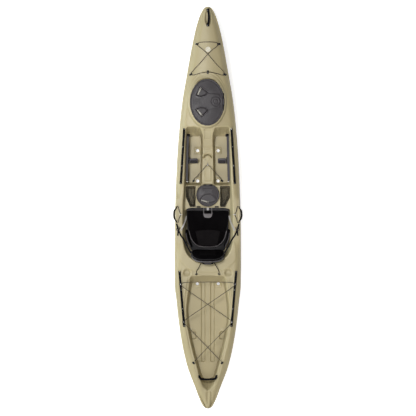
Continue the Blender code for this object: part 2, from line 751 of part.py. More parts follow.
# Frames on the deck
def deck_frame(x, y, degrees=0.0):
    """A frame standing on the deck with a little slack, its own X turned from starboard by degrees."""
    step = 0.004
    slope_x = (deck_z(x + step, y) - deck_z(x - step, y)) / (2 * step)
    slope_y = (deck_z(x, y + step) - deck_z(x, y - step)) / (2 * step)
    up = Vector((-slope_x, -slope_y, 1)).normalized()
    ahead = Vector((*turned(1, 0, degrees), 0))
    ahead = (ahead - up * ahead.dot(up)).normalized()
    frame = Matrix((ahead, up.cross(ahead), up)).transposed().to_4x4()
    frame.translation = Vector((x, y, deck_z(x, y) + SLACK))
    return frame


def level_frame(point, rise, degrees=0.0):
    turn = Matrix.Rotation(math.radians(degrees), 4, "Z")
    return Matrix.Translation(Vector(point) + Vector((0, 0, rise))) @ turn


def on_deck(x, y):
    return Vector((x, y, deck_z(x, y) + CORD_RISE))


# Hatches
def hinge(rim, lid, start, end, inward, rim_top):
    """Knuckles on the rim and on the lid in turn along a line, bored for one pin. It returns the pin."""
    line = (end - start).normalized()
    share = (end - start) / KNUCKLES
    for i in range(KNUCKLES):
        low = start + share * i + line * SLACK / 2
        high = start + share * (i + 1) - line * SLACK / 2
        owner = lid if i % 2 else rim
        unite(owner, rod("knuckle", low, high, KNUCKLE_RADIUS, 8))
        if owner is rim:
            post = [p.xy.to_3d() + Vector((0, 0, (start.z + rim_top - 0.002) / 2)) for p in (low, high)]
            unite(owner, strip("knuckle_post", post, KNUCKLE_RADIUS, start.z - rim_top + 0.002))
        else:
            web = [p + inward * (KNUCKLE_REACH + 0.006) / 2 for p in (low, high)]
            unite(owner, strip("knuckle_web", web, KNUCKLE_REACH + 0.006, KNUCKLE_RADIUS))
    bore = HINGE_PIN_RADIUS + PIN_CLEARANCE
    for owner in (rim, lid):
        cut(owner, rod("pin_bore", start - line * 0.01, end + line * 0.01, bore, 8))
    return rod("pin", start + line * SLACK, end - line * SLACK, HINGE_PIN_RADIUS, 8, "steel")


def latch(name, lid, centre, low_z, top_z, placing):
    """A rotary lever in a hollow of the lid, on a spindle with a tongue below."""
    pivot, shut_deg, swing_deg = placing
    at = Vector(pivot)
    floor = top_z - LATCH_POCKET_DEPTH
    start, end = sorted((shut_deg, shut_deg + swing_deg))
    sweep_arc = [at + Vector(turned(LATCH_LENGTH, 0, start + (end - start) * i / 8)) for i in range(9)]
    pocket = grown([at] + sweep_arc, LATCH_POCKET_MARGIN)
    cut(lid, slab("latch_pocket_cutter", pocket, floor, top_z + 0.03))
    bore = SPINDLE_RADIUS + BORE_CLEARANCE
    cut(lid, rod("spindle_bore", (*pivot, low_z - 0.01), (*pivot, floor + 0.01), bore))
    lever = []
    for x, y in ((-LATCH_HUB_RADIUS, LATCH_HUB_RADIUS), (-LATCH_HUB_RADIUS, -LATCH_HUB_RADIUS),
                 (LATCH_LENGTH, -LATCH_TIP_RADIUS), (LATCH_LENGTH, LATCH_TIP_RADIUS)):
        lever.append((*(at + Vector(turned(x, y, shut_deg))), 0.6 * LATCH_TIP_RADIUS))
    lever_low = floor + SLACK
    made = slab(name, rounded(lever), lever_low, lever_low + LATCH_HEIGHT, "fitting")
    tongue_z = low_z - SLACK - TONGUE_THICKNESS / 2
    spindle_top = lever_low + LATCH_HEIGHT / 2
    unite(made, rod("spindle", (*pivot, tongue_z), (*pivot, spindle_top), SPINDLE_RADIUS))
    outward = (at - Vector(centre)).normalized()
    middle = at + outward * (TONGUE_LENGTH / 2 - SPINDLE_RADIUS)
    tongue = (2 * SPINDLE_RADIUS - 0.001, TONGUE_LENGTH, TONGUE_THICKNESS)
    facing = math.degrees(math.atan2(outward.y, outward.x)) - 90
    unite(made, block("tongue", (*middle, tongue_z), tongue, degrees=facing))
    pivot_at(made, (*pivot, lever_low))


def make_hatch(prefix, outline, centre, seat_z, latches):
    """A rim, its seal and a lid with its latches. It returns the rim, the lid and the lid's foot."""
    foot = seat_z + GAP
    rim_top = foot + RIM_HEIGHT
    step = RIM_WIDTH - SEAL_WIDTH
    groove = rim_top - SEAL_DEPTH
    wide = grown(outline, RIM_OVERHANG)
    rim = ring(prefix + "_rim", wide, ((0, foot), (0, rim_top), (step, rim_top), (step, groove),
                                       (RIM_WIDTH, groove), (RIM_WIDTH, foot)), "fitting")
    seal = ((step + GAP, groove + GAP), (step + GAP, rim_top), (RIM_WIDTH, rim_top),
            (RIM_WIDTH, groove + GAP))
    ring(prefix + "_seal", wide, seal, "rubber")
    low = rim_top + GAP
    shoulder = low + LID_THICKNESS
    lid = lofted(prefix + "_lid", [
        at_height(grown(outline, -LID_EDGE / 2), low), at_height(outline, low + LID_EDGE / 2),
        at_height(outline, shoulder - LID_EDGE), at_height(grown(outline, -LID_EDGE), shoulder),
        at_height(scaled(outline, 0.62, centre), shoulder + LID_CROWN)], "lid")
    for name, placing in latches.items():
        latch(name, lid, centre, low, shoulder, placing)
    return rim, lid, low


def make_bow_hatch():
    latches = {"bow_latch_" + name: placing for name, placing in BOW_LATCHES.items()}
    rim, lid, low = make_hatch("bow_hatch", bow_lid_outline(), BOW_HATCH_AT, coaming_top_z(), latches)
    ring_low = low + 0.5 * LID_THICKNESS
    boss = egg(BOSS_AT, BOSS_RADIUS, BOSS_RADIUS, BOSS_RADIUS, 16)
    unite(lid, ring("lid_boss", boss, ((0, ring_low), (0, ring_low + LID_THICKNESS),
                                       (BOSS_WIDTH, ring_low + LID_THICKNESS), (BOSS_WIDTH, ring_low))))
    axis_x = BOW_HATCH_AT[0] + BOW_LID_HALF_WIDTH - BOW_HINGE_INSET
    start, end = [Vector((axis_x, y, low + KNUCKLE_RADIUS + GAP)) for y in BOW_HINGE_Y]
    clear = Vector((0.05 - KNUCKLE_REACH, 0.004, 0))
    notch = [start + clear, Vector((start.x + clear.x, end.y - clear.y, end.z))]
    cut(lid, strip("hinge_notch_cutter", notch, 0.1, 0.1))
    pin = hinge(rim, lid, start, end, Vector((-1, 0, 0)), low - GAP)
    pin.name = "bow_hatch_hinge_pin"
    pivot_at(lid, start)


def make_centre_hatch():
    rim, lid, low = make_hatch("centre_hatch", centre_lid_outline(), CENTRE_HATCH_AT, PLATFORM_Z,
                               {"centre_latch": CENTRE_LATCH})
    chord_y = CENTRE_HATCH_AT[1] + CENTRE_CHORD_AHEAD
    axis_y = chord_y + KNUCKLE_REACH
    start, end = [Vector((x, axis_y, low + KNUCKLE_RADIUS + GAP)) for x in CENTRE_HINGE_X]
    foot_back, foot_front = chord_y - RIM_OVERHANG, axis_y + KNUCKLE_RADIUS
    unite(rim, block("hinge_foot", (0, (foot_back + foot_front) / 2, low - GAP - RIM_HEIGHT / 2),
                     (end.x - start.x, foot_front - foot_back, RIM_HEIGHT - SLACK)))
    pin = hinge(rim, lid, start, end, Vector((0, -1, 0)), low - GAP)
    pin.name = "centre_hatch_hinge_pin"
    pivot_at(lid, start)


# Eyes, gear tracks and cords
def eye(name, frame, half=EYE_HALF_LENGTH, colour=None):
    """A bent strap that a cord runs under, its feet along the frame's X."""
    low = EYE_THICKNESS / 2
    side = [(half, low), (EYE_INSIDE + 0.0015, low), (EYE_INSIDE, 0.6 * EYE_HEIGHT),
            (0.4 * EYE_INSIDE, EYE_HEIGHT)]
    path = [(x, 0, z) for x, z in side] + [(-x, 0, z) for x, z in reversed(side)]
    return placed(strip(name, path, EYE_WIDTH, EYE_THICKNESS, colour, across=(0, 1, 0)), frame)


def track_top(side, span, y):
    """The middle of a gear track's top face at a place along it."""
    front, back = track_line(side, span)
    return front.lerp(back, (y - front.y) / (back.y - front.y)) + Vector((0, 0, GAP + TRACK_HEIGHT))


def make_tracks():
    for side, word in ((-1, "left"), (1, "right")):
        for place, span in (("front", FRONT_TRACK_Y), ("rear", REAR_TRACK_Y)):
            middle = [p + Vector((0, 0, GAP + TRACK_HEIGHT / 2)) for p in track_line(side, span)][::-side]
            track = strip(f"track_{place}_{word}", middle, TRACK_WIDTH, TRACK_HEIGHT, "track")
            end = (middle[1] - middle[0]).normalized() * TRACK_END
            lift = Vector((0, 0, TRACK_HEIGHT / 2))
            slot = (middle[0] + end + lift, middle[1] - end + lift)
            cut(track, strip("slot_cutter", slot, TRACK_SLOT_WIDTH, 2 * TRACK_SLOT_DEPTH))
        for y in TANKWELL_EYES_Y:
            frame = level_frame(track_top(side, REAR_TRACK_Y, y), -SUNK)
            unite(track, eye("track_eye", frame, TRACK_WIDTH / 2 - SLACK))


def bend(at, degrees, first):
    """Three places of a cord's turn under an eye on starboard. First picks which end leads."""
    inward, across = Vector(turned(BEND[0], 0, degrees)), Vector(turned(0, BEND[1], degrees))
    return [Vector(at) + inward + first * across, Vector(at), Vector(at) + inward - first * across]


def make_bow_bungee():
    """One closed cord under five eyes, crossing itself in the middle."""
    (front_x, front_y), (back_x, back_y) = BOW_EYES
    hump = Vector((0, 0, BUNGEE_DIAMETER + GAP))
    eye("bow_eye_centre", deck_frame(*BOW_CENTRE_EYE, 90), colour="fitting")
    for side, word in ((-1, "left"), (1, "right")):
        front_frame = deck_frame(side * front_x, front_y, side * BOW_BENDS_DEG[0])
        back_frame = deck_frame(side * back_x, back_y, side * BOW_BENDS_DEG[1])
        eye(f"bow_eye_front_{word}", front_frame, colour="fitting")
        eye(f"bow_eye_rear_{word}", back_frame, colour="fitting")
    mid_y = BOW_CROSSING_Y
    ahead = bend(BOW_EYES[0], BOW_BENDS_DEG[0], -1) + [(0.06, mid_y + 0.055)]
    behind = [(0.06, mid_y - 0.071)] + bend(BOW_EYES[1], BOW_BENDS_DEG[1], -1) + [(0.08, back_y + 0.012)]
    port_ahead, port_behind = [[(-p[0], p[1]) for p in run] for run in (ahead, behind)]
    front = [(-0.05, front_y + 0.02), (0.05, front_y + 0.02)]
    route = [on_deck(*p) for p in port_ahead[::-1] + front + ahead]
    route.append(on_deck(0, mid_y))
    route += [on_deck(*p) for p in port_behind + [BOW_CENTRE_EYE] + behind[::-1]]
    route.append(on_deck(0, mid_y) + hump)
    tube("bow_bungee", through(route, CORD_STEP, closed=True), BUNGEE_DIAMETER, "cord", closed=True)


def make_console_bungee():
    """A cord from one footwell's floor over the console, under its eye and down into the other footwell."""
    eye("console_eye", level_frame((*CONSOLE_EYE, PLATFORM_Z), GAP, 90), colour="fitting")
    at, degrees = CONSOLE_CLEAT
    end, lead = cleat_end((*at, FOOTWELL_Z), degrees, 1)
    start_y, lift = CONSOLE_EYE[1], PLATFORM_Z + CORD_RISE + GAP
    half = [Vector((0.018, start_y - 0.018, lift + 0.003)), Vector((0.036, start_y - 0.038, lift + 0.0034)),
            Vector((0.062, start_y - 0.067, lift + 0.001)), Vector((0.073, start_y - 0.079, lift - 0.01)),
            Vector((0.105, start_y - 0.115, 0.145)), lead, end]
    port = [Vector((-p.x, p.y, p.z)) for p in reversed(half)]
    route = port + [Vector((0, start_y, lift))] + half
    tube("console_bungee", through(route, CORD_STEP), BUNGEE_DIAMETER, "cord")


def tankwell_run(side, lift):
    """From a cleat by the middle eye of the other side to this side's front eye, lifted where runs cross."""
    rise = Vector((0, 0, CORD_RISE + GAP))
    front, middle = TANKWELL_EYES_Y
    at, degrees = TANKWELL_CLEAT
    start, lead = cleat_end((*at, deck_z(*at)), degrees, side)
    turn = track_top(-side, REAR_TRACK_Y, middle) + rise
    last = track_top(side, REAR_TRACK_Y, front) + rise
    hump = Vector((0, 0, lift))
    low, high = [a.lerp(b, a.x / (a.x - b.x)) + hump for a, b in ((start, turn), (turn, last))]
    inner, ahead = Vector((side * BEND[0], 0, 0)), Vector((0, BEND[1], 0))
    bent = [turn + inner - ahead, turn, turn + inner + ahead]
    return [start, lead, low] + bent + [high, last - inner - ahead, last]


def make_tankwell_bungee():
    """One cord laced from the left cleat through the four eyes on the tracks to the right cleat."""
    left, right = tankwell_run(-1, 0), tankwell_run(1, BUNGEE_DIAMETER + GAP)
    inner, ahead = Vector((BEND[0], 0, 0)), Vector((0, BEND[1], 0))
    middle = left[-1].lerp(right[-1], 0.5) + 2 * ahead
    front = [left[-1] + inner + ahead, middle, right[-1] - inner + ahead]
    tube("tankwell_bungee", through(left + front + right[::-1], 2.4 * CORD_STEP), BUNGEE_DIAMETER, "cord")


# Foot braces
def footwell_wall_x(y, z):
    """The footwell's outer wall at a place, on starboard."""
    share = (z - FOOTWELL_Z) / (PLATFORM_Z - FOOTWELL_Z)
    levels = []
    for corners in (FOOTWELL_FLOOR, FOOTWELL_TOP):
        (x1, y1, _), (x2, y2, _) = corners[1], corners[2]
        levels.append(x1 + (x2 - x1) * (y1 - y) / (y1 - y2))
    return levels[0] + (levels[1] - levels[0]) * share


def make_foot_braces():
    half, rise, slot = RAIL_DEPTH / 2, RAIL_HEIGHT / 2, RAIL_SLOT_HEIGHT / 2
    face = half - RAIL_SLOT_DEPTH
    profile = [(half, slot), (face, slot), (face, -slot), (half, -slot), (half, -rise), (-half, -rise),
               (-half, rise), (half, rise)]
    for side, word in ((-1, "left"), (1, "right")):
        walls = [footwell_wall_x(y, RAIL_Z - rise) for y in RAIL_Y]
        front, back = [Vector((side * (x - half - SLACK), y, RAIL_Z)) for x, y in zip(walls, RAIL_Y)]
        # Along a line that goes aft, across points to port.
        sweep(f"foot_rail_{word}", (front, back), [(side * a, u) for a, u in profile], "rail")
        along = (front - back).normalized()
        inward = Vector((-side * along.y, side * along.x, 0))
        at = back + along * ((SLIDER_AT_Y - back.y) / along.y)
        reach = along * SLIDER_LENGTH / 2
        plate = at + inward * (half + SLACK + SLIDER_PLATE / 2)
        ends = (plate - reach, plate + reach)
        slider = strip(f"foot_slider_{word}", ends, SLIDER_PLATE, RAIL_HEIGHT, "fitting")
        key_width = RAIL_SLOT_DEPTH + SLIDER_PLATE / 4
        key = at + inward * (face + SLACK + key_width / 2)
        ends = (key - 0.95 * reach, key + 0.95 * reach)
        unite(slider, strip("slider_key", ends, key_width, RAIL_SLOT_HEIGHT - 2 * SLACK))
        near = abs(plate.x) - SLIDER_PLATE / 2 - PEDAL_GAP
        root, tip = [Vector((side * x, at.y, RAIL_Z)) for x in (abs(plate.x), near - PEDAL_PIN_LENGTH)]
        unite(slider, rod("pedal_pin", root, tip, PEDAL_PIN_RADIUS))
        pivot_at(slider, at)
        make_pedal(f"foot_pedal_{word}", side, near, at.y, root, tip)


def make_pedal(name, side, near, y, root, tip):
    """A plate that leans away from the sitter, hung on the slider's pin."""
    low, high, far = -PEDAL_BELOW_PIN, PEDAL_HEIGHT - PEDAL_BELOW_PIN, near - PEDAL_WIDTH
    half = PEDAL_THICKNESS / 2
    outline = rounded([(near, low, 0.014), (near, high, 0.014), (far, high, 0.02), (far, low, 0.02)])
    turn = Matrix.Rotation(math.radians(90 - PEDAL_LEAN_DEG), 4, "X")
    pedal = slab(name, [Vector((side * p.x, p.y)) for p in outline], -half, half, "rail")
    placed(pedal, Matrix.Translation((0, y, RAIL_Z)) @ turn)
    end = tip - Vector((side * 2 * SLACK, 0, 0))
    cut(pedal, rod("pedal_bore", root, end, PEDAL_PIN_RADIUS + BORE_CLEARANCE))
    pivot_at(pedal, root)


# Handles
def lug(point, along, rise):
    """The middle and size of a block that takes a handle's pin, which crosses it at a rise above its foot."""
    size = (LUG_WIDTH, LUG_LENGTH) if along == "y" else (LUG_LENGTH, LUG_WIDTH)
    height = rise + LUG_ABOVE_AXIS
    return (point[0], point[1], point[2] - rise + height / 2), (*size, height)


def make_side_handles():
    front, back = SIDE_HANDLE_Y
    droop = math.radians(SIDE_HANDLE_DROOP_DEG)
    for side, word in ((-1, "left"), (1, "right")):
        x = side * SIDE_HANDLE_X
        foot = deck_z(x, front) + SLACK
        z = foot + SIDE_AXIS_RISE
        reach = LUG_LENGTH + SLACK
        size = (LUG_WIDTH - SLACK, front - back + 2 * reach - SLACK, BRACKET_THICKNESS)
        middle = (x, (front + back) / 2, foot + BRACKET_THICKNESS / 2)
        bracket = block(f"side_handle_bracket_{word}", middle, size, "fitting")
        for y in (front + reach - LUG_LENGTH / 2, back - reach + LUG_LENGTH / 2):
            unite(bracket, block("lug", *lug((x, y, z), "y", SIDE_AXIS_RISE - SUNK)))
        bore = HANDLE_PIN_RADIUS + BORE_CLEARANCE
        cut(bracket, rod("lug_bore", (x, front + 0.1, z), (x, back - 0.1, z), bore))
        form = [(-HANDLE_PIN_LENGTH, 0, HANDLE_PIN_RADIUS), (-SLACK / 2, 0, HANDLE_PIN_RADIUS),
                (SLACK / 2, 0, 0.9 * HANDLE_ARM_RADIUS), (HANDLE_ARM_RADIUS, 0, HANDLE_ARM_RADIUS)]
        length = front - back
        form += [(0.12 * length, 0.42, HANDLE_ARM_RADIUS), (0.25 * length, 0.85, 0.95 * SIDE_GRIP_RADIUS),
                 (0.5 * length, 1, SIDE_GRIP_RADIUS)]
        form += [(length - a, b, c) for a, b, c in reversed(form[:-1])]
        points = [(x + side * SIDE_HANDLE_REACH * out * math.cos(droop), front - along,
                   z - SIDE_HANDLE_REACH * out * math.sin(droop)) for along, out, _ in form]
        handle = bar(f"side_handle_{word}", points, [radius for _, _, radius in form], "rubber")
        pivot_at(handle, (x, front, z))
        make_side_bungee(side, word)


def make_side_bungee(side, word):
    """A thin cord from one handle lug round an eye at the cockpit's edge and back to the other lug."""
    x, y = SIDE_EYE
    eye(f"side_eye_{word}", deck_frame(side * x, y), colour="fitting")
    start_x = SIDE_HANDLE_X - LUG_WIDTH / 2 - GAP
    front, back = SIDE_HANDLE_Y[0] + LUG_LENGTH / 2, SIDE_HANDLE_Y[1] - LUG_LENGTH / 2
    plan = [(start_x, front), (start_x - 0.008, front), (x + 0.019, y + 0.036)] + bend((x, y), 0, 1)
    plan += [(x + 0.019, y - 0.036), (start_x - 0.008, back), (start_x, back)]
    route = through([on_deck(side * a, b) for a, b in plan], 0.016)
    tube(f"side_bungee_{word}", route, SIDE_BUNGEE_DIAMETER, "cord")


def make_stern_handle():
    half, y = STERN_HANDLE_HALF_WIDTH, STERN_HANDLE_Y
    z = deck_z(half, y) + SLACK + STERN_AXIS_RISE
    for side, word in ((-1, "left"), (1, "right")):
        centre, size = lug((side * (half + SLACK + LUG_LENGTH / 2), y, z), "x", STERN_AXIS_RISE)
        made = block(f"stern_handle_lug_{word}", centre, size, "fitting")
        cut(made, rod("lug_bore", (side * 0.5 * half, y, z), (side * 2 * half, y, z),
                      HANDLE_PIN_RADIUS + BORE_CLEARANCE))
    arm, bow = STERN_HANDLE_ARM, STERN_HANDLE_BOW
    form = [(half + HANDLE_PIN_LENGTH, 0, HANDLE_PIN_RADIUS), (half + SLACK / 2, 0, HANDLE_PIN_RADIUS),
            (half - SLACK / 2, 0, 0.9 * HANDLE_ARM_RADIUS), (half - HANDLE_ARM_RADIUS, 0, HANDLE_ARM_RADIUS),
            (half - 0.011, 0.4 * arm, HANDLE_ARM_RADIUS),
            (half - 0.014, 0.85 * arm, HANDLE_ARM_RADIUS), (half - 0.024, arm, STERN_GRIP_RADIUS),
            (0.5 * half, arm + 0.6 * bow, STERN_GRIP_RADIUS), (0, arm + bow, STERN_GRIP_RADIUS)]
    form += [(-x, back, radius) for x, back, radius in reversed(form[:-1])]
    points = [(x, y - back, z) for x, back, _ in form]
    handle = bar("stern_handle", points, [radius for _, _, radius in form], "rubber")
    pivot_at(handle, (0, y, z))


def make_bow_handle():
    """A rubber strap that arches over the hollow in the foredeck, with a flat foot at both ends."""
    thickness, size = BOW_HANDLE_THICKNESS, HANDLE_END_SIZE
    ends = [Vector((0, y, deck_z(0, y) + SLACK + thickness / 2)) for y in BOW_HANDLE_Y]
    arch = []
    for i in range(9):
        lift = BOW_HANDLE_ARCH * math.sin(math.pi * i / 8) ** 0.7
        arch.append(ends[0].lerp(ends[1], i / 8) + Vector((0.2 * lift, 0, lift)))
    handle = strip("bow_handle", arch, BOW_HANDLE_WIDTH, thickness, "rubber", across=(1, 0, 0))
    for y, push in zip(BOW_HANDLE_Y, (1, -1)):
        foot = block("handle_foot", (0, 0, 0.52 * thickness), (size, size, 1.04 * thickness))
        unite(handle, placed(foot, deck_frame(0, y + push * 0.3 * size)))


# Seat
def cushion(name, outline, middle, base, place, channel=None):
    """A padded form: sides drawn in under its edge, a crowned top, and sewn channels pressed into it."""
    rings = []
    for inset, share in ((0.008, 0), (0, 0.3), (CUSHION_SIDE_PULL, 0.62), (0.003, 0.84), (0.012, 1)):
        rings.append([place(p.x, p.y, base[0] + base[1] * share) for p in grown(outline, -inset)])
    inner = grown(outline, -0.012)
    for share in (0.86, 0.74, 0.62, 0.48, 0.34, 0.18):
        loop = []
        for p in scaled(inner, share, middle):
            rise = base[1] + CUSHION_CROWN * (1 - share**2)
            if channel:
                rise -= CHANNEL_DEPTH * channel(p.x, p.y)
            loop.append(place(p.x, p.y, base[0] + rise))
        rings.append(loop)
    return lofted(name, rings, "fabric", edge_deg=60)


def pressed(distance):
    """How deep a sewn channel is at a distance from its line, from 1 on the line to 0 beside it."""
    share = min(1.0, abs(distance) / CHANNEL_WIDTH)
    return (1 - share**2) ** 2


def seat_channel(x, y):
    """The seam across the pan, bowed forward, and the two lines that run back from it."""
    across = y - (SEAM_Y - 0.5 * x**2)
    panel = abs(x) - (PANEL_HALF_WIDTH + 0.16 * (y - SEAM_Y))
    return max(pressed(across), pressed(panel) if y < SEAM_Y else 0)


def back_point(x, up, out):
    """A place on the backrest: up along it from its axis, and out from its face towards the sitter."""
    lean = math.radians(BACK_LEAN_DEG)
    return BACK_AXIS + Vector((x, out * math.cos(lean) - up * math.sin(lean),
                               out * math.sin(lean) + up * math.cos(lean)))


def make_seat_pan():
    low = SEAT_Z + GAP
    top = low + SEAT_BASE_THICKNESS
    base = slab("seat_base", grown(rounded(mirrored(SEAT_WELL_FLOOR)), -SEAT_BASE_INSET), low, top, "fitting")
    axis_y, axis_z = BACK_AXIS.y, BACK_AXIS.z
    lug_low, lug_high = top - 0.004, axis_z + BACK_BARREL_RADIUS
    for side in (-1, 1):
        unite(base, block("rod_lug", (side * BACK_LUG_X, axis_y, (lug_low + lug_high) / 2),
                          (0.012, 2 * BACK_BARREL_RADIUS, lug_high - lug_low)))
    far = 2 * BACK_LUG_X
    bore = BACK_ROD_RADIUS + BORE_CLEARANCE
    cut(base, rod("rod_bore", (-far, axis_y, axis_z), (far, axis_y, axis_z), bore))
    reach = BACK_LUG_X + 0.01
    ends = [(side * reach, axis_y, axis_z) for side in (-1, 1)]
    rod("seat_hinge_rod", *ends, BACK_ROD_RADIUS, colour="steel")
    cushion("seat_cushion", rounded(mirrored(CUSHION_OUTLINE)), CUSHION_MIDDLE,
            (top + GAP, CUSHION_THICKNESS), lambda x, y, z: Vector((x, y, z)), seat_channel)
    for side, word in ((-1, "left"), (1, "right")):
        route = [(side * x, y, top + GAP + WING_HEIGHT / 2) for x, y in WING_ROUTE]
        strip(f"seat_wing_{word}", through(route, 0.025), WING_THICKNESS, WING_HEIGHT, "fabric")
    back_edge = LIFT_TAB_Y - LIFT_TAB_SIZE[1] / 2
    share = (back_edge - CUSHION_MIDDLE[1]) / (CUSHION_OUTLINE[0][1] - CUSHION_MIDDLE[1])
    over = top + CUSHION_THICKNESS + CUSHION_CROWN * (1 - share**2) + 2 * GAP
    tab = block("lift_strap", (0, LIFT_TAB_Y, over + LIFT_TAB_SIZE[2] / 2), LIFT_TAB_SIZE, "grey_webbing")
    for side in (-1, 1):
        x = side * LIFT_STRAP_X
        web = [(x, -0.03, over + 0.0016), (x, LIFT_TAB_Y + 0.01, over + 0.002)]
        unite(tab, strip("lift_web", web, 0.006, STRAP_THICKNESS))


def make_seat_back():
    low = -BACK_SHELL_SETBACK
    high = low + BACK_SHELL_THICKNESS
    outline = rounded(mirrored(BACK_OUTLINE), 4)
    faces = [[back_point(p.x, p.y, out) for p in outline] for out in (low, high)]
    shell = lofted("seat_back_shell", faces, "rail")
    for side in (-1, 1):
        x = side * BACK_BARREL_X
        ends = [(x + push * BACK_BARREL_LENGTH / 2, BACK_AXIS.y, BACK_AXIS.z) for push in (-1, 1)]
        unite(shell, rod("barrel", *ends, BACK_BARREL_RADIUS))
        web = [back_point(x, up, low + 0.7 * BACK_SHELL_THICKNESS) for up in (-0.002, 0.026)]
        width = BACK_BARREL_LENGTH - 0.004
        unite(shell, strip("barrel_web", web, width, BACK_SHELL_THICKNESS, across=(1, 0, 0)))
    far = 2 * BACK_LUG_X
    cut(shell, rod("rod_bore", (-far, BACK_AXIS.y, BACK_AXIS.z), (far, BACK_AXIS.y, BACK_AXIS.z),
                   BACK_ROD_RADIUS + BORE_CLEARANCE))
    inset = BACK_CUSHION_INSET
    padded = []
    for x, up, reach in BACK_OUTLINE:
        padded.append((x - inset, up + (inset if up < BACK_MIDDLE[1] / 2 else -inset), reach))
    pad = cushion("seat_back_cushion", rounded(mirrored(padded), 4), BACK_MIDDLE,
                  (high + GAP, BACK_CUSHION_THICKNESS), back_point)
    half, near, far = GRAB_HALF_WIDTH, low - GAP, low - GRAB_REACH
    form = [(half, near), (half, near - 0.006), (half - 0.006, far + 0.006), (half - 0.02, far), (0, far)]
    form += [(-x, out) for x, out in reversed(form[:-1])]
    points = [back_point(x, GRAB_HEIGHT, out) for x, out in form]
    grab = bar("seat_grab_handle", points, [GRAB_RADIUS] * len(form), "rubber")
    for made in (shell, pad, grab):
        pivot_at(made, BACK_AXIS)


def make_straps():
    for side, word in ((-1, "left"), (1, "right")):
        rise = SLACK + STRAP_THICKNESS / 2
        level = deck_z(SIDE_HANDLE_X, -0.2) + rise
        start_y = SIDE_HANDLE_Y[1] - LUG_LENGTH - 6 * SLACK
        plan = [(SIDE_HANDLE_X, start_y, 0.004), (0.324, -0.2, 0.001), (0.308, -0.245, 0),
                (0.287, -0.294, 0.001), (0.262, -0.328, 0.003), (0.24, -0.37, 0), (0.214, -0.42, -0.012),
                (0.178, -0.482, -0.026)]
        route = through([(side * x, y, level + lift) for x, y, lift in plan], 0.03)
        strap = strip(f"side_strap_{word}", route, STRAP_WIDTH, STRAP_THICKNESS, "webbing")
        unite(strap, block("buckle", (side * 0.298, -0.27, level + BUCKLE_SIZE[2] / 2), BUCKLE_SIZE,
                           degrees=side * 22))
        plan = [(0.2305, -0.088, 0.157), (0.2343, -0.118, 0.2), (0.2605, -0.19, level + 0.0025),
                (0.2725, -0.213, level + 0.0012), (0.283, -0.242, level)]
        route = through([(side * x, y, z) for x, y, z in plan], 0.04)
        strip(f"seat_strap_{word}", route, NARROW_STRAP_WIDTH, STRAP_THICKNESS, "grey_webbing")
        x, y = REAR_STRAP_AT
        start = back_point(side * 0.055, 0.245, -BACK_SHELL_SETBACK - 2 * SLACK)
        over = Vector((side * x, y + 0.02, deck_z(x, y + 0.02) + 0.008))
        tab = [Vector((side * x, y + back, deck_z(x, y + back) + rise)) for back in (0.006, -0.02)]
        route = [start, start.lerp(over, 0.5), over] + tab
        strip(f"rear_strap_{word}", through(route, 0.05), NARROW_STRAP_WIDTH, STRAP_THICKNESS, "webbing",
              across=(1, 0, 0))


# Mesh pockets
def pocket_outer_x(y):
    """The pocket's outer edge on starboard: straight, then drawn in towards its back."""
    share = max(0.0, (POCKET_BEND_Y - y) / (POCKET_BEND_Y - POCKET_BACK_Y))
    return POCKET_OUTER_X + (POCKET_TAIL_X - POCKET_OUTER_X) * share


def make_pocket(side, word):
    """A flat net inside a flat hem, over a side tray."""
    inner, front, back, hem = POCKET_INNER_X, POCKET_FRONT_Y, POCKET_BACK_Y, POCKET_HEM
    corners = ((inner, front), (POCKET_OUTER_X, front), (POCKET_OUTER_X, POCKET_BEND_Y),
               (POCKET_TAIL_X, back), (inner, back))
    low = PLATFORM_Z + GAP
    high = low + POCKET_HEM_THICKNESS
    made = ring(f"pocket_{word}", [Vector((side * x, y)) for x, y in corners],
                ((0, low), (0, high), (hem, high), (hem, low)), "net")
    start_x, start_y = inner + hem - 0.001, front - hem + 0.001
    length = start_y - back - hem + 0.001
    corners = []
    for row in range(NET_ROWS + 1):
        y = start_y - length * row / NET_ROWS
        width = pocket_outer_x(y) - 1.1 * hem - start_x
        places = [start_x + width * column / NET_COLUMNS for column in range(NET_COLUMNS + 1)]
        corners.append([Vector((side * x, y, 0)) for x in places])
    unite(made, net_form(corners, low + SUNK, low + SUNK + NET_STRAND))


def net_form(corners, low, high):
    """Strands along a grid of corners, open in between."""
    bm = bmesh.new()
    levels = [Vector((0, 0, z)) for z in (low, high)]
    nodes = [[[bm.verts.new(p + lift) for lift in levels] for p in row] for row in corners]
    for upper, lower, above, below in zip(nodes, nodes[1:], corners, corners[1:]):
        for c in range(len(above) - 1):
            cell = (upper[c], upper[c + 1], lower[c + 1], lower[c])
            places = (above[c], above[c + 1], below[c + 1], below[c])
            middle = sum(places, Vector()) / 4
            hole = []
            for place in places:
                reach = middle - place
                shift = Vector([math.copysign(NET_STRAND / 2, value) for value in reach.xy] + [0])
                hole.append([bm.verts.new(place + shift + lift) for lift in levels])
            for k in range(4):
                n = (k + 1) % 4
                for level in (0, 1):
                    bm.faces.new((cell[k][level], cell[n][level], hole[n][level], hole[k][level]))
                bm.faces.new((hole[k][0], hole[n][0], hole[n][1], hole[k][1]))
    edge = nodes[0] + [row[-1] for row in nodes[1:]] + nodes[-1][-2::-1] + [row[0] for row in nodes[-2:0:-1]]
    for a, b in zip(edge, edge[1:] + edge[:1]):
        bm.faces.new((a[0], b[0], b[1], a[1]))
    return object_of("net", bm)


clear_scene()
make_hull()
make_bow_hatch()
make_centre_hatch()
make_tracks()
make_foot_braces()
make_bow_handle()
make_stern_handle()
make_side_handles()
make_bow_bungee()
make_console_bungee()
make_tankwell_bungee()
make_seat_pan()
make_seat_back()
make_straps()
make_pocket(-1, "left")
make_pocket(1, "right")
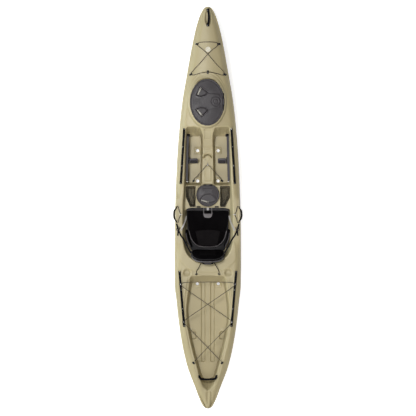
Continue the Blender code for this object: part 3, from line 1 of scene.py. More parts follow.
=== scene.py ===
"""The looks of a sit-on-top fishing kayak: its moulded hull, hatches, rigging and padded seat.

Metres, in the frame of the solids: the bow points along +Y, starboard is +X and up is +Z.
"""

import math

import bmesh
import bpy
import numpy as np
from mathutils import Matrix, Vector


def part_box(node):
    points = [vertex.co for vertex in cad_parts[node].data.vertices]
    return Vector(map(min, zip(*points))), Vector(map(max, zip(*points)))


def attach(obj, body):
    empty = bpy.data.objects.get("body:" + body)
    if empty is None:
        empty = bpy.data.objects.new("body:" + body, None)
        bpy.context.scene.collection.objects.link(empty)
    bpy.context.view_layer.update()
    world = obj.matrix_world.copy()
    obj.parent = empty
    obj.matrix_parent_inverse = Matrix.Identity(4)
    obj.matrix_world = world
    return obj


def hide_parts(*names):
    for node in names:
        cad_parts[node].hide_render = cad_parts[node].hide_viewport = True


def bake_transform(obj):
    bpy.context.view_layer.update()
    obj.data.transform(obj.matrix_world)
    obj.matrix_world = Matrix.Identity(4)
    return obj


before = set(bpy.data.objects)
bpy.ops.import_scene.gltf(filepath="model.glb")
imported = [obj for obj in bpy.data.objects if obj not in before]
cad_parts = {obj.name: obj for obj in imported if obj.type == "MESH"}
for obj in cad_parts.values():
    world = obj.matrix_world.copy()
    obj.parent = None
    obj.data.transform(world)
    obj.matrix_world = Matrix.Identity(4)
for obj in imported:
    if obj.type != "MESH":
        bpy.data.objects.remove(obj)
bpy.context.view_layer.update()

# Hull form: the share of half the length from the middle, then the value there
LENGTH = 4.27
BEAM = 0.711
CHAMFER = 0.018
PLAN = ((-1, 0.03), (-0.996, 0.09), (-0.986, 0.145), (-0.947, 0.262), (-0.907, 0.352), (-0.787, 0.622),
        (-0.668, 0.785), (-0.549, 0.889), (-0.469, 0.94), (-0.39, 0.992), (-0.25, 1.0), (-0.111, 0.996),
        (0.207, 0.934), (0.407, 0.847), (0.525, 0.768), (0.685, 0.605), (0.844, 0.425), (0.939, 0.273),
        (0.978, 0.172), (0.994, 0.1), (1, 0.03))
KEEL = ((-1, 0.215), (-0.97, 0.125), (-0.9, 0.065), (-0.75, 0.025), (-0.5, 0.004), (-0.3, 0), (0.3, 0),
        (0.5, 0.004), (0.75, 0.03), (0.9, 0.085), (0.97, 0.155), (1, 0.265))
SEAM = ((-1, 0.275), (-0.8, 0.235), (-0.4, 0.205), (0.3, 0.2), (0.7, 0.235), (1, 0.31))
GUNWALE = ((-1, 0.305), (-0.8, 0.292), (-0.3, 0.285), (0.3, 0.287), (0.7, 0.305), (1, 0.335))
CROWN = ((-1, 0.004), (-0.9, 0.008), (-0.75, 0.002), (-0.1, 0), (0.2, 0), (0.4, 0.028), (0.55, 0.042),
         (0.7, 0.04), (0.85, 0.025), (1, 0.003))
SIDE = ((0, 0, 0), (0.3, 0, 0), (0.58, 0.08, 0), (0.82, 0.3, 0), (1, 1, 0))

PLATFORM_Z = 0.2
FOOTWELL_Z = 0.085
TRAY_Z = 0.1
SEAT_Z = 0.11
TANKWELL_Z = 0.155

# Half outlines of the wells: corners as (x, y, corner reach)
COCKPIT_TOP = ((0.232, 0.864, 0.035), (0.248, 0.25, 0.1), (0.268, 0.0, 0.1), (0.267, -0.34, 0.06),
               (0.235, -0.49, 0.07), (0.125, -0.578, 0.05), (0, -0.598, 0.04))
COCKPIT_FLOOR = ((0.226, 0.8, 0.03), (0.238, 0.25, 0.1), (0.247, 0.0, 0.1), (0.247, -0.34, 0.055),
                 (0.218, -0.478, 0.06), (0.115, -0.558, 0.05), (0, -0.575, 0.04))
SEAT_WELL_TOP = ((0.24, -0.014, 0.03), (0.242, -0.33, 0.055), (0.212, -0.47, 0.06), (0.11, -0.548, 0.05),
                 (0, -0.565, 0.04))
SEAT_WELL_FLOOR = ((0.232, -0.024, 0.02), (0.234, -0.325, 0.05), (0.2, -0.46, 0.06), (0.1, -0.53, 0.05),
                   (0, -0.55, 0.04))
TANKWELL_TOP = ((0.184, -0.7255, 0.03), (0.24, -1.128, 0.18), (0.181, -1.442, 0.12),
                (0.089, -1.782, 0.05), (0.058, -1.896, 0.04), (0, -1.952, 0.015))
TANKWELL_FLOOR = ((0.171, -0.79, 0.03), (0.227, -1.125, 0.17), (0.167, -1.44, 0.12),
                  (0.078, -1.765, 0.05), (0.05, -1.825, 0.03), (0, -1.845, 0.015))
FOOTWELL_TOP = ((0.078, 0.852, 0.016), (0.222, 0.852, 0.014), (0.237, 0.24, 0.025), (0.066, 0.24, 0.03),
                (0.053, 0.772, 0.05))
FOOTWELL_FLOOR = ((0.076, 0.77, 0.012), (0.211, 0.77, 0.008), (0.224, 0.262, 0.02), (0.078, 0.262, 0.02),
                  (0.066, 0.72, 0.04))
TRAY_TOP = ((0.1385, 0.2215, 0.015), (0.2245, 0.2215, 0.015), (0.226, 0.112, 0.02), (0.183, 0.018, 0.01),
            (0.1385, 0.018, 0.01))
TRAY_FLOOR = ((0.1465, 0.212, 0.012), (0.2165, 0.212, 0.012), (0.218, 0.114, 0.02), (0.177, 0.028, 0.01),
              (0.1465, 0.028, 0.01))
SCUPPERS = ((0.11, 0.612), (0.109, 0.287), (0.112, -0.815))
SCUPPER_RADIUS = 0.016
DISH = (0.2195, -0.697)

BOW_HATCH = (-0.006, 1.118)
CENTRE_HATCH = (0, 0.136)
BOW_LID_HALF = (0.18, 0.245)
CENTRE_LID_RADIUS = 0.1205
CENTRE_CHORD_AHEAD = 0.1
OPENING_INSET = 0.026
COAMING_RISE = 0.003
BOW_HINGE_X = BOW_HATCH[0] + 0.172
BOW_HINGE_Y = 1.125
HINGE_GAP = 0.0078
HINGE_RISE = 0.0053
KNUCKLE_RADIUS = 0.005
LID_RISE = 0.0086
ROLL_WIDTH = 0.056
ROLL_DROP = 0.028

# Fittings on the deck. Each pair of tracks: where along Y its ends are, and its screws
TRACKS = {"front": ((0.842, 0.252), (0.833, 0.648, 0.446, 0.261)),
          "rear": ((-0.671, -1.265), (-0.68, -0.875, -1.075, -1.256))}
TRACK_FROM_EDGE = 0.053
TRACK_SUNK = 0.004
TRACK_HEIGHT = 0.0113
TRACK_SLOT_DEPTH = 0.0068
TRACK_EYES = (-0.813, -1.213)
EYE_SCREW_OFFSET = 0.0128
SIDES = ((-1, "left"), (1, "right"))
UP = Vector((0, 0, 1))


# Curves and outlines
class Curve:
    """A smooth curve through (place, value) pairs, which never overshoots them."""

    def __init__(self, pairs):
        self.places, self.values = np.array(pairs, float).T
        slopes = np.diff(self.values) / np.diff(self.places)
        before, after = slopes[:-1], slopes[1:]
        same = before * after > 0
        middle = np.where(same, 2 * before * after / np.where(same, before + after, 1), 0)
        self.slopes = np.concatenate((slopes[:1], middle, slopes[-1:]))

    def __call__(self, at):
        at = np.clip(at, self.places[0], self.places[-1])
        i = np.clip(np.searchsorted(self.places, at) - 1, 0, len(self.places) - 2)
        span = self.places[i + 1] - self.places[i]
        t = (at - self.places[i]) / span
        value = self.values[i] * (2 * t**3 - 3 * t**2 + 1) + self.values[i + 1] * (3 * t**2 - 2 * t**3)
        bend = self.slopes[i] * (t**3 - 2 * t**2 + t) + self.slopes[i + 1] * (t**3 - t**2)
        return value + span * bend


plan, keel, seam, gunwale, crown = (Curve(table) for table in (PLAN, KEEL, SEAM, GUNWALE, CROWN))


def share_of(y):
    return 2 * y / LENGTH


def half_beam(y):
    return BEAM / 2 * plan(share_of(y))


def gunwale_x(y):
    beam = half_beam(y)
    return beam - np.minimum(CHAMFER, 0.3 * beam)


def deck_z(x, y):
    share = np.minimum(1.0, np.abs(x) / gunwale_x(y))
    return gunwale(share_of(y)) + crown(share_of(y)) * (1 - share**2)


def eased(t):
    t = np.clip(t, 0, 1)
    return t * t * (3 - 2 * t)


def near(distance, width):
    """1 on a line, falling smoothly to 0 a width away from it."""
    return np.exp(-((distance / width) ** 2))


def mirrored(half):
    """The points and, from the last back to the first, their mirror images."""
    return list(half) + [(-x, y, reach) for x, y, reach in reversed(half) if x > 0]


def rounded(corners, steps=10):
    """An outline through corners (x, y, reach), each cut by a curve that starts and ends that far from it."""
    outline = []
    for i, (x, y, reach) in enumerate(corners):
        here = np.array((x, y))
        before = np.array(corners[i - 1][:2]) - here
        after = np.array(corners[(i + 1) % len(corners)][:2]) - here
        lengths = [np.linalg.norm(v) for v in (before, after)]
        start = here + before / lengths[0] * min(reach, 0.48 * lengths[0])
        end = here + after / lengths[1] * min(reach, 0.48 * lengths[1])
        for step in range(steps + 1):
            t = step / steps
            outline.append(start * (1 - t) ** 2 + here * 2 * t * (1 - t) + end * t**2)
    return np.array(outline)


def grown(outline, distance):
    """The outline moved outward by a distance, or inward where it is negative."""
    outline = np.asarray(outline, float)
    ahead = np.roll(outline, -1, axis=0) - outline
    area = np.sum(outline[:, 0] * np.roll(outline, -1, axis=0)[:, 1]
                  - outline[:, 1] * np.roll(outline, -1, axis=0)[:, 0])
    ahead /= np.maximum(np.linalg.norm(ahead, axis=1, keepdims=True), 1e-9)
    normal = np.stack((ahead[:, 1], -ahead[:, 0]), axis=1) * (1 if area > 0 else -1)
    both = normal + np.roll(normal, 1, axis=0)
    both /= np.maximum(np.linalg.norm(both, axis=1, keepdims=True), 1e-9)
    stretch = np.maximum(0.5, np.sum(both * normal, axis=1, keepdims=True))
    return outline + both * distance / stretch


def egg(centre, half_width, ahead, behind=None, count=96):
    angles = 2 * np.pi * (np.arange(count) + 0.5) / count
    length = np.where(np.sin(angles) > 0, ahead, ahead if behind is None else behind)
    return np.stack((centre[0] + half_width * np.cos(angles), centre[1] + length * np.sin(angles)), axis=1)


def chorded_circle():
    """The centre lid's outline: a circle with one straight side across its front."""
    count = 96
    corner = math.asin(CENTRE_CHORD_AHEAD / CENTRE_LID_RADIUS)
    angles = corner - (math.pi + 2 * corner) * np.arange(count) / (count - 1)
    arc = np.stack((np.cos(angles), np.sin(angles)), axis=1) * CENTRE_LID_RADIUS + CENTRE_HATCH
    chord = [arc[-1] + (arc[0] - arc[-1]) * k / 16 for k in range(1, 16)]
    return np.concatenate((arc, chord))


def inside(x, y, outline):
    """How far each place lies inside an outline, below 0 outside it."""
    best = np.full(np.shape(x), 1e9)
    odd = np.zeros(np.shape(x), bool)
    for (ax, ay), (bx, by) in zip(outline, np.roll(outline, -1, axis=0)):
        ex, ey = bx - ax, by - ay
        if ex == ey == 0:
            continue
        t = np.clip(((x - ax) * ex + (y - ay) * ey) / (ex * ex + ey * ey), 0, 1)
        best = np.minimum(best, np.hypot(x - ax - t * ex, y - ay - t * ey))
        if ey:
            odd ^= ((ay > y) != (by > y)) & (x < ax + (y - ay) * ex / ey)
    return np.where(odd, best, -best)


def through(points, step):
    """Points about a step apart on a smooth curve through the given ones."""
    route = [Vector(p) for p in points]
    route = [2 * route[0] - route[1]] + route + [2 * route[-1] - route[-2]]
    found = []
    for a, b, c, d in zip(route, route[1:], route[2:], route[3:]):
        gaps = [math.sqrt(max((q - p).length, 1e-9)) for p, q in ((a, b), (b, c), (c, d))]
        enter = (c - b) + gaps[1] * ((b - a) / gaps[0] - (c - a) / (gaps[0] + gaps[1]))
        leave = (c - b) + gaps[1] * ((d - c) / gaps[2] - (d - b) / (gaps[1] + gaps[2]))
        pieces = max(1, round((c - b).length / step))
        for k in range(pieces):
            t = k / pieces
            found.append(b * (2 * t**3 - 3 * t**2 + 1) + c * (3 * t**2 - 2 * t**3)
                         + enter * (t**3 - 2 * t**2 + t) + leave * (t**3 - t**2))
    return found + [Vector(points[-1])]


def turned(x, y, degrees):
    angle = math.radians(degrees)
    return (x * math.cos(angle) - y * math.sin(angle), x * math.sin(angle) + y * math.cos(angle))


# Finishes
class Nodes:
    """A material's nodes, with texture places in metres in the frame of the solids."""

    def __init__(self, name):
        self.material = bpy.data.materials.new(name)
        self.material.use_nodes = True
        self.tree = self.material.node_tree
        self.shader = self.tree.nodes["Principled BSDF"]
        self.place = self.new("ShaderNodeTexCoord").outputs["Object"]

    def new(self, kind, **settings):
        node = self.tree.nodes.new(kind)
        for key, value in settings.items():
            setattr(node, key, value)
        return node

    def put(self, socket, value):
        if isinstance(value, bpy.types.NodeSocket):
            self.tree.links.new(value, socket)
        else:
            socket.default_value = value

    def texture(self, kind, output, place, values, **settings):
        node = self.new("ShaderNode" + kind, **settings)
        self.put(node.inputs["Vector"], place)
        for key, value in values.items():
            node.inputs[key].default_value = value
        return node.outputs[output]

    def stretched(self, shares, degrees=0.0):
        return self.texture("Mapping", "Vector", self.place,
                            {"Scale": shares, "Rotation": (0, 0, math.radians(degrees))})

    def noise(self, scale, detail=4.0, roughness=0.5, stretch=None):
        return self.texture("TexNoise", "Fac", self.stretched(stretch) if stretch else self.place,
                            {"Scale": scale, "Detail": detail, "Roughness": roughness})

    def wave(self, scale, degrees=0.0, direction="X", distortion=0.0):
        return self.texture("TexWave", "Fac", self.stretched((1, 1, 1), degrees),
                            {"Scale": scale, "Distortion": distortion}, bands_direction=direction)

    def cells(self, scale):
        return self.texture("TexVoronoi", "Distance", self.place, {"Scale": scale})

    def between(self, value, low, high, new_low=0.0, new_high=1.0):
        node = self.new("ShaderNodeMapRange")
        for key, number in (("Value", value), ("From Min", low), ("From Max", high), ("To Min", new_low),
                            ("To Max", new_high)):
            self.put(node.inputs[key], number)
        return node.outputs["Result"]

    def maths(self, operation, first, second):
        node = self.new("ShaderNodeMath", operation=operation)
        self.put(node.inputs[0], first)
        self.put(node.inputs[1], second)
        return node.outputs[0]

    def mix(self, share, first, second):
        node = self.new("ShaderNodeMix", data_type="RGBA")
        self.put(node.inputs["Factor"], share)
        for socket, colour in ((node.inputs[6], first), (node.inputs[7], second)):
            self.put(socket, (*colour, 1) if isinstance(colour, tuple) else colour)
        return node.outputs[2]

    def bump(self, height, distance, strength=1.0, below=None):
        node = self.new("ShaderNodeBump")
        self.put(node.inputs["Height"], height)
        node.inputs["Distance"].default_value = distance
        node.inputs["Strength"].default_value = strength
        if below:
            self.put(node.inputs["Normal"], below)
        return node.outputs["Normal"]

    def pointiness(self):
        return self.new("ShaderNodeNewGeometry").outputs["Pointiness"]

    def clouded(self, base, scale, high, dark, pale):
        """The base colour in soft darker and paler clouds."""
        return self.mix(self.between(self.noise(scale, 5.0), 0.35, high), tint(base, dark), tint(base, pale))

    def over(self, colour, mask, strength, tone):
        """The colour with a tone laid over it where the mask is."""
        return self.mix(self.maths("MULTIPLY", mask, strength), colour, tone)

    def done(self, colour, roughness, normal=None, **constants):
        self.put(self.shader.inputs["Base Color"], (*colour, 1) if isinstance(colour, tuple) else colour)
        self.put(self.shader.inputs["Roughness"], roughness)
        if normal:
            self.put(self.shader.inputs["Normal"], normal)
        for key, value in constants.items():
            self.shader.inputs[key.replace("_", " ")].default_value = value
        return self.material


def tint(colour, share):
    return tuple(min(1.0, c * share) for c in colour)


def hull_finish():
    """Rotomoulded plastic: broad faint clouds, fine speckle and a pebbled skin, with painted shade in creases
    and painted highlights on convex edges.
    """
    n = Nodes("hull_plastic")
    base = (0.402, 0.34, 0.192)
    colour = n.clouded(base, 2.2, 0.65, 0.955, 1.035)
    colour = n.over(colour, n.between(n.noise(420, 2.0, 0.7), 0.55, 0.75), 0.1, tint(base, 0.7))
    scuffs = n.between(n.noise(70, 6.0, 0.65, stretch=(1, 0.12, 1)), 0.62, 0.7)
    colour = n.over(colour, scuffs, 0.16, tint(base, 1.25))
    # Painted shade: creases and hollows darker
    colour = n.over(colour, n.between(n.pointiness(), 0.505, 0.44), 0.5, tint(base, 0.42))
    # Painted highlight: convex edges paler
    colour = n.over(colour, n.between(n.pointiness(), 0.51, 0.58), 0.45, tint(base, 1.35))
    rough = n.between(n.noise(35, 4.0), 0.3, 0.7, 0.36, 0.5)
    normal = n.bump(n.cells(330), 0.0006, 0.35)
    normal = n.bump(n.noise(900, 2.0), 0.0003, 0.4, normal)
    return n.done(colour, rough, normal, Specular_IOR_Level=0.42)


def moulded_finish(name, base, roughness, grain=500, pale=1.5, level=0.5):
    """Injection-moulded plastic or rubber with a fine grain, painted highlights on convex edges and painted
    shade in hollows.
    """
    n = Nodes(name)
    colour = n.clouded(base, 9, 0.65, 0.88, 1.14)
    # Painted highlight: convex edges paler, by the pale share
    colour = n.over(colour, n.between(n.pointiness(), 0.51, 0.6), 0.5, tint(base, pale))
    # Painted shade: hollows darker
    colour = n.over(colour, n.between(n.pointiness(), 0.5, 0.43), 0.6, tint(base, 0.4))
    rough = n.between(n.noise(60, 3.0), 0.3, 0.7, roughness - 0.06, roughness + 0.07)
    normal = n.bump(n.cells(grain), 0.0004, 0.45)
    normal = n.bump(n.noise(2.2 * grain, 2.0), 0.00015, 0.5, normal)
    return n.done(colour, rough, normal, Specular_IOR_Level=level)


def woven_finish(name, base, pitch, roughness=0.85, sheen=0.25, pale=1.6, level=0.25):
    """Cloth or webbing: two sets of threads at right angles, a little uneven, with worn high spots."""
    n = Nodes(name)
    scale = math.pi / pitch / 20
    weave = n.maths("MAXIMUM", n.wave(scale, distortion=0.6), n.wave(scale, direction="Y", distortion=0.6))
    colour = n.over(n.clouded(base, 16, 0.68, 0.75, 1.25), weave, 0.5, tint(base, pale))
    colour = n.over(colour, n.between(n.noise(1400, 2.0, 0.7), 0.5, 0.8), 0.35, tint(base, 1.9))
    normal = n.bump(weave, 0.0005, 0.6)
    normal = n.bump(n.noise(45, 4.0), 0.0015, 0.35, normal)
    rough = n.between(n.noise(30), 0.3, 0.7, roughness - 0.07, roughness + 0.07)
    return n.done(colour, rough, normal, Sheen_Weight=sheen, Sheen_Roughness=0.5, Specular_IOR_Level=level)


def cord_finish(name, base):
    """Bungee cord: a braided sheath with tracer threads."""
    n = Nodes(name)
    braid = n.maths("MAXIMUM", n.wave(62, degrees=40), n.wave(62, degrees=-40))
    colour = n.mix(n.between(braid, 0.2, 0.9), tint(base, 0.55), tint(base, 1.35))
    colour = n.over(colour, n.between(n.wave(17, degrees=35), 0.9, 0.98), 0.7, tint(base, 2.5))
    return n.done(colour, 0.75, n.bump(braid, 0.0004, 0.7), Sheen_Weight=0.2, Specular_IOR_Level=0.3)


def metal_finish(name, base, roughness, metallic=1.0, level=0.5):
    """Drawn metal with fine lines along it."""
    n = Nodes(name)
    lines = n.noise(900, 3.0, 0.6, stretch=(1, 0.03, 1))
    colour = n.mix(n.between(lines, 0.3, 0.7), tint(base, 0.8), tint(base, 1.2))
    rough = n.between(lines, 0.3, 0.7, roughness - 0.08, roughness + 0.1)
    normal = n.bump(lines, 0.00012, 0.5)
    return n.done(colour, rough, normal, Metallic=metallic, Specular_IOR_Level=level)


hull_plastic = hull_finish()
lid_plastic = moulded_finish("lid_plastic", (0.041, 0.0355, 0.0385), 0.48, 420, 1.5, 0.35)
black_plastic = moulded_finish("black_plastic", (0.008, 0.0075, 0.009), 0.55, 700, 2.2, 0.2)
grey_plastic = moulded_finish("grey_plastic", (0.041, 0.037, 0.041), 0.55, 700, 1.8, 0.3)
pedal_grey = moulded_finish("pedal_grey", (0.085, 0.078, 0.086), 0.6, 600, 1.6, 0.3)
lever_plastic = moulded_finish("lever_plastic", (0.27, 0.255, 0.215), 0.4, 700, 1.3)
pale_plastic = moulded_finish("pale_plastic", (0.55, 0.53, 0.5), 0.4, 700, 1.2)
disc_plastic = moulded_finish("disc_plastic", (0.62, 0.58, 0.46), 0.35, 900, 1.2)
handle_rubber = moulded_finish("handle_rubber", (0.0036, 0.0034, 0.0042), 0.75, 500, 2.0, 0.06)
seal_rubber = moulded_finish("seal_rubber", (0.02, 0.02, 0.02), 0.75, 600, 1.5)
track_metal = metal_finish("track_metal", (0.003, 0.003, 0.0045), 0.6, 0.1, 0.08)
steel = metal_finish("steel", (0.6, 0.59, 0.57), 0.3)
dark_steel = metal_finish("dark_steel", (0.3, 0.29, 0.3), 0.35)
seat_fabric = woven_finish("seat_fabric", (0.0032, 0.0028, 0.0031), 0.0016, 0.95, 0.0, 1.8, 0.0)
panel_fabric = woven_finish("panel_fabric", (0.0078, 0.0068, 0.0072), 0.0022, 0.92, 0.01, 2.0, 0.04)
back_fabric = woven_finish("back_fabric", (0.0042, 0.0037, 0.004), 0.0022, 0.94, 0.0, 2.0, 0.01)
piping_cloth = woven_finish("piping_cloth", (0.017, 0.0155, 0.0165), 0.0012, 0.85, 0.1, level=0.15)
black_webbing = woven_finish("black_webbing", (0.006, 0.0055, 0.0065), 0.0022, 0.9, 0.05, 2.0, 0.1)
grey_webbing = woven_finish("grey_webbing", (0.42, 0.4, 0.38), 0.0022, 0.8, 0.2, 1.25)
tab_cloth = woven_finish("tab_cloth", (0.16, 0.148, 0.15), 0.0025, 0.8, 0.3, 1.5)
pale_piping = woven_finish("pale_piping", (0.105, 0.095, 0.097), 0.0012, 0.75, 0.2, 1.3)
lip_cloth = woven_finish("lip_cloth", (0.027, 0.0245, 0.027), 0.0016, 0.85, 0.1, 1.5, 0.15)
net_cord = woven_finish("net_cord", (0.014, 0.0125, 0.011), 0.001, 0.85, 0.1, level=0.15)
bungee = cord_finish("bungee_cord", (0.055, 0.045, 0.03))
black_cord = cord_finish("black_cord", (0.008, 0.007, 0.0075))


SHARP_DEG = 42
HULL_SHARP_DEG = 55
SAME_POINT = 0.00002


# Geometry: each maker gives (points, faces), and piece() joins any number of them
def rings_form(rings, caps=True, closed=False):
    """A skin over rings of points."""
    count = len(rings[0])
    points = [tuple(p) for ring in rings for p in ring]
    faces = []
    last = len(rings) - 1
    for a, b in [(i, i + 1) for i in range(last)] + ([(last, 0)] if closed else []):
        for k in range(count):
            m = (k + 1) % count
            faces.append((a * count + k, a * count + m, b * count + m, b * count + k))
    if caps and not closed:
        faces.append(tuple(range(count))[::-1])
        faces.append(tuple(range(last * count, len(rings) * count)))
    return points, faces


def sweep_form(path, profile, across=None, closed=False, scales=None):
    """A bar along a path. Profile points are (across, up); across is level and square to the path."""
    path = [Vector(p) for p in path]
    rings = []
    side = None
    for i, here in enumerate(path):
        if closed:
            ahead = path[(i + 1) % len(path)] - path[i - 1]
        else:
            ahead = path[min(i + 1, len(path) - 1)] - path[max(i - 1, 0)]
        ahead.normalize()
        if across is not None:
            side = Vector(across)
        elif side is None or closed:
            side = ahead.cross(UP)
        side = side - ahead * side.dot(ahead)
        side.normalize()
        up = side.cross(ahead)
        scale = scales[i] if scales is not None else 1
        rings.append([here + side * s * scale + up * u * scale for s, u in profile])
    return rings_form(rings, closed=closed)


def circle(radius, sides=10):
    angles = [2 * math.pi * k / sides for k in range(sides)]
    return [(radius * math.cos(a), radius * math.sin(a)) for a in angles]


def flat_profile(width, thickness):
    """A webbing strap's section: flat faces and rounded edges."""
    edge, sides = 0.35, 3
    half, rise = width / 2, thickness / 2
    points = []
    for centre, start in ((half - rise * edge, -90), (-(half - rise * edge), 90)):
        for k in range(sides + 1):
            a = math.radians(start + 180 * k / sides)
            points.append((centre + rise * edge * math.cos(a), rise * math.sin(a)))
    return points


def strap_form(path, width, thickness, across=None):
    return sweep_form(path, flat_profile(width, thickness), across)


def tube_form(path, radius, sides=10, closed=False, scales=None):
    return sweep_form(path, circle(radius, sides), None, closed, scales)


def standing(at, normal):
    """The place of a form that stands on a surface with that normal."""
    turn = UP.rotation_difference(Vector(normal)).to_matrix().to_4x4()
    return Matrix.Translation(Vector(at)) @ turn


def turned_at(at, degrees, axis="Z"):
    return Matrix.Translation(Vector(at)) @ Matrix.Rotation(math.radians(degrees), 4, axis)


def put_rings(rings, place):
    """A skin over rings that a matrix puts in place."""
    return rings_form([[place @ Vector(p) for p in ring] for ring in rings])


def lathe_form(profile, at, sides=20):
    """A turned solid from (radius, z) points, standing on its axis."""
    rings = [[(x, y, z) for x, y in circle(max(radius, 1e-5), sides)] for radius, z in profile]
    return put_rings(rings, Matrix.Translation(Vector(at)))


def block_form(at, size, degrees=0.0, bevel=0.0015):
    """A box with rounded upright and top edges. at is its middle, or a matrix that places it."""
    x, y, z = (v / 2 for v in size)
    bevel = min(bevel, 0.45 * min(size))
    outline = rounded([(sx * x, sy * y, bevel * 1.7) for sx, sy in ((1, 1), (-1, 1), (-1, -1), (1, -1))], 4)
    rings = []
    for inset, level in ((bevel, -z), (0.3 * bevel, -z + 0.3 * bevel), (0, -z + bevel), (0, z - bevel),
                         (0.3 * bevel, z - 0.3 * bevel), (bevel, z)):
        rings.append([(*p, level) for p in grown(outline, -inset)])
    return put_rings(rings, at if isinstance(at, Matrix) else turned_at(at, degrees))


def screw_form(at, normal=UP, radius=0.0042, height=0.0018):
    """A pan-head screw with a cross recess."""
    rings = []
    for share, level, notch in ((1, -0.0008, 1), (1, 0.35 * height, 1), (0.86, 0.75 * height, 1),
                                (0.62, height, 1), (0.5, height, 0.35), (0.46, 0.3 * height, 0.35)):
        ring = []
        for k, (x, y) in enumerate(circle(radius * share, 16)):
            reach = 1.0 if k % 4 == 0 else notch
            ring.append((x * reach, y * reach, level))
        rings.append(ring)
    return put_rings(rings, standing(at, normal))


def joined(name, forms):
    """One mesh from several forms."""
    points, faces = [], []
    for made, skin in forms:
        start = len(points)
        points += [tuple(p) for p in made]
        faces += [tuple(start + i for i in face) for face in skin]
    mesh = bpy.data.meshes.new(name)
    mesh.from_pydata(points, [], faces)
    return mesh


def added(name, data):
    """A new object in the scene."""
    made = bpy.data.objects.new(name, data)
    bpy.context.scene.collection.objects.link(made)
    return made


def finished(made, finish):
    made.data.materials.clear()
    made.data.materials.append(finish)


def piece(name, forms, finish, body="hull", replaces=(), smooth_deg=SHARP_DEG):
    """One named piece from any number of forms. Without a body it is left unattached."""
    made = added(name, joined(name, [forms] if isinstance(forms, tuple) else forms))
    finished(made, finish)
    tidy(made, smooth_deg)
    if body:
        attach(made, body)
    if replaces:
        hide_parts(*replaces)
    return made


def tidy(made, smooth_deg=SHARP_DEG):
    """Normals outward, smooth shading, and edges kept where the form turns sharply."""
    bm = bmesh.new()
    bm.from_mesh(made.data)
    bmesh.ops.recalc_face_normals(bm, faces=bm.faces)
    bm.to_mesh(made.data)
    bm.free()
    made.data.shade_smooth()
    made.data.set_sharp_from_angle(angle=math.radians(smooth_deg))


def applied(made, kind, **settings):
    """Adds one modifier and applies it."""
    change = made.modifiers.new(kind.lower(), kind)
    for key, value in settings.items():
        setattr(change, key, value)
    graph = bpy.context.evaluated_depsgraph_get()
    mesh = bpy.data.meshes.new_from_object(made.evaluated_get(graph))
    made.modifiers.remove(change)
    made.data = mesh
    return made


def reworked(name, node, finish, body, flat_deg, smooth_deg, changes):
    """A CAD node's form after some modifiers, standing for that node."""
    made = added(name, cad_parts[node].data.copy())
    bm = bmesh.new()
    bm.from_mesh(made.data)
    bmesh.ops.remove_doubles(bm, verts=bm.verts, dist=SAME_POINT)
    bmesh.ops.dissolve_limit(bm, angle_limit=math.radians(flat_deg), verts=bm.verts, edges=bm.edges)
    bm.to_mesh(made.data)
    bm.free()
    for kind, settings in changes.items():
        applied(made, kind, **settings)
    finished(made, finish)
    tidy(made, smooth_deg)
    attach(made, body)
    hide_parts(node)
    return made


def softened(name, node, finish, width, body="hull"):
    """A CAD node's form with its edges rounded."""
    bevel = {"width": width, "segments": 2, "limit_method": "ANGLE", "angle_limit": math.radians(40)}
    return reworked(name, node, finish, body, 1, SHARP_DEG, {"BEVEL": bevel})


def smoothed(name, node, finish, body="hull", swell=0.0):
    """A CAD node's form made round, and thicker where swell says so."""
    changes = {"SUBSURF": {"levels": 2, "render_levels": 2}}
    if swell:
        changes["DISPLACE"] = {"strength": swell, "mid_level": 0.0}
    return reworked(name, node, finish, body, 0.6, 60, changes)


def dress(finish, *nodes):
    """Gives CAD nodes a finish in place of their plain one."""
    for node in nodes:
        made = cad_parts[node]
        finished(made, finish)
        made.data.shade_smooth()
        made.data.set_sharp_from_angle(angle=math.radians(40))


def box_middle(node):
    low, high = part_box(node)
    return (Vector(low) + Vector(high)) / 2


def top_of(node):
    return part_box(node)[1][2]


# Hull: one height for each place of the deck, and a section below it
def ramp(t, ease):
    """0 to 1 in a straight slope with rounded ends, which take a share each."""
    t = np.clip(t, 0, 1)
    low, high = t < ease, t > 1 - ease
    middle = (t - ease / 2) / (1 - ease)
    return np.where(low, t * t / (2 * ease * (1 - ease)),
                    np.where(high, 1 - (1 - t) ** 2 / (2 * ease * (1 - ease)), middle))


def sunk(z, x, y, top, floor, level, edge=0.007):
    """Leads a surface down, or up, from a top outline to a level inside a floor outline."""
    to_top, to_floor = inside(x, y, top), inside(x, y, floor)
    gap = np.maximum(to_top - to_floor, 0.001)
    t = (to_top + edge) / (gap + 2 * edge)
    return z + (level - z) * ramp(t, np.clip(1.7 * edge / (gap + 2 * edge), 0.12, 0.5))


def within(x, y, outline, edge):
    """1 inside an outline, falling smoothly to 0 over an edge each side of it."""
    return eased((inside(x, y, outline) + edge) / (2 * edge))


def track_x(y):
    return half_beam(y) - TRACK_FROM_EDGE


def box_outline(x1, y1, x2, y2, reach):
    return rounded([(x2, y2, reach), (x2, y1, reach), (x1, y1, reach), (x1, y2, reach)])


def coaming_top():
    return deck_z(BOW_HATCH[0], BOW_HATCH[1] + BOW_LID_HALF[1]) + COAMING_RISE


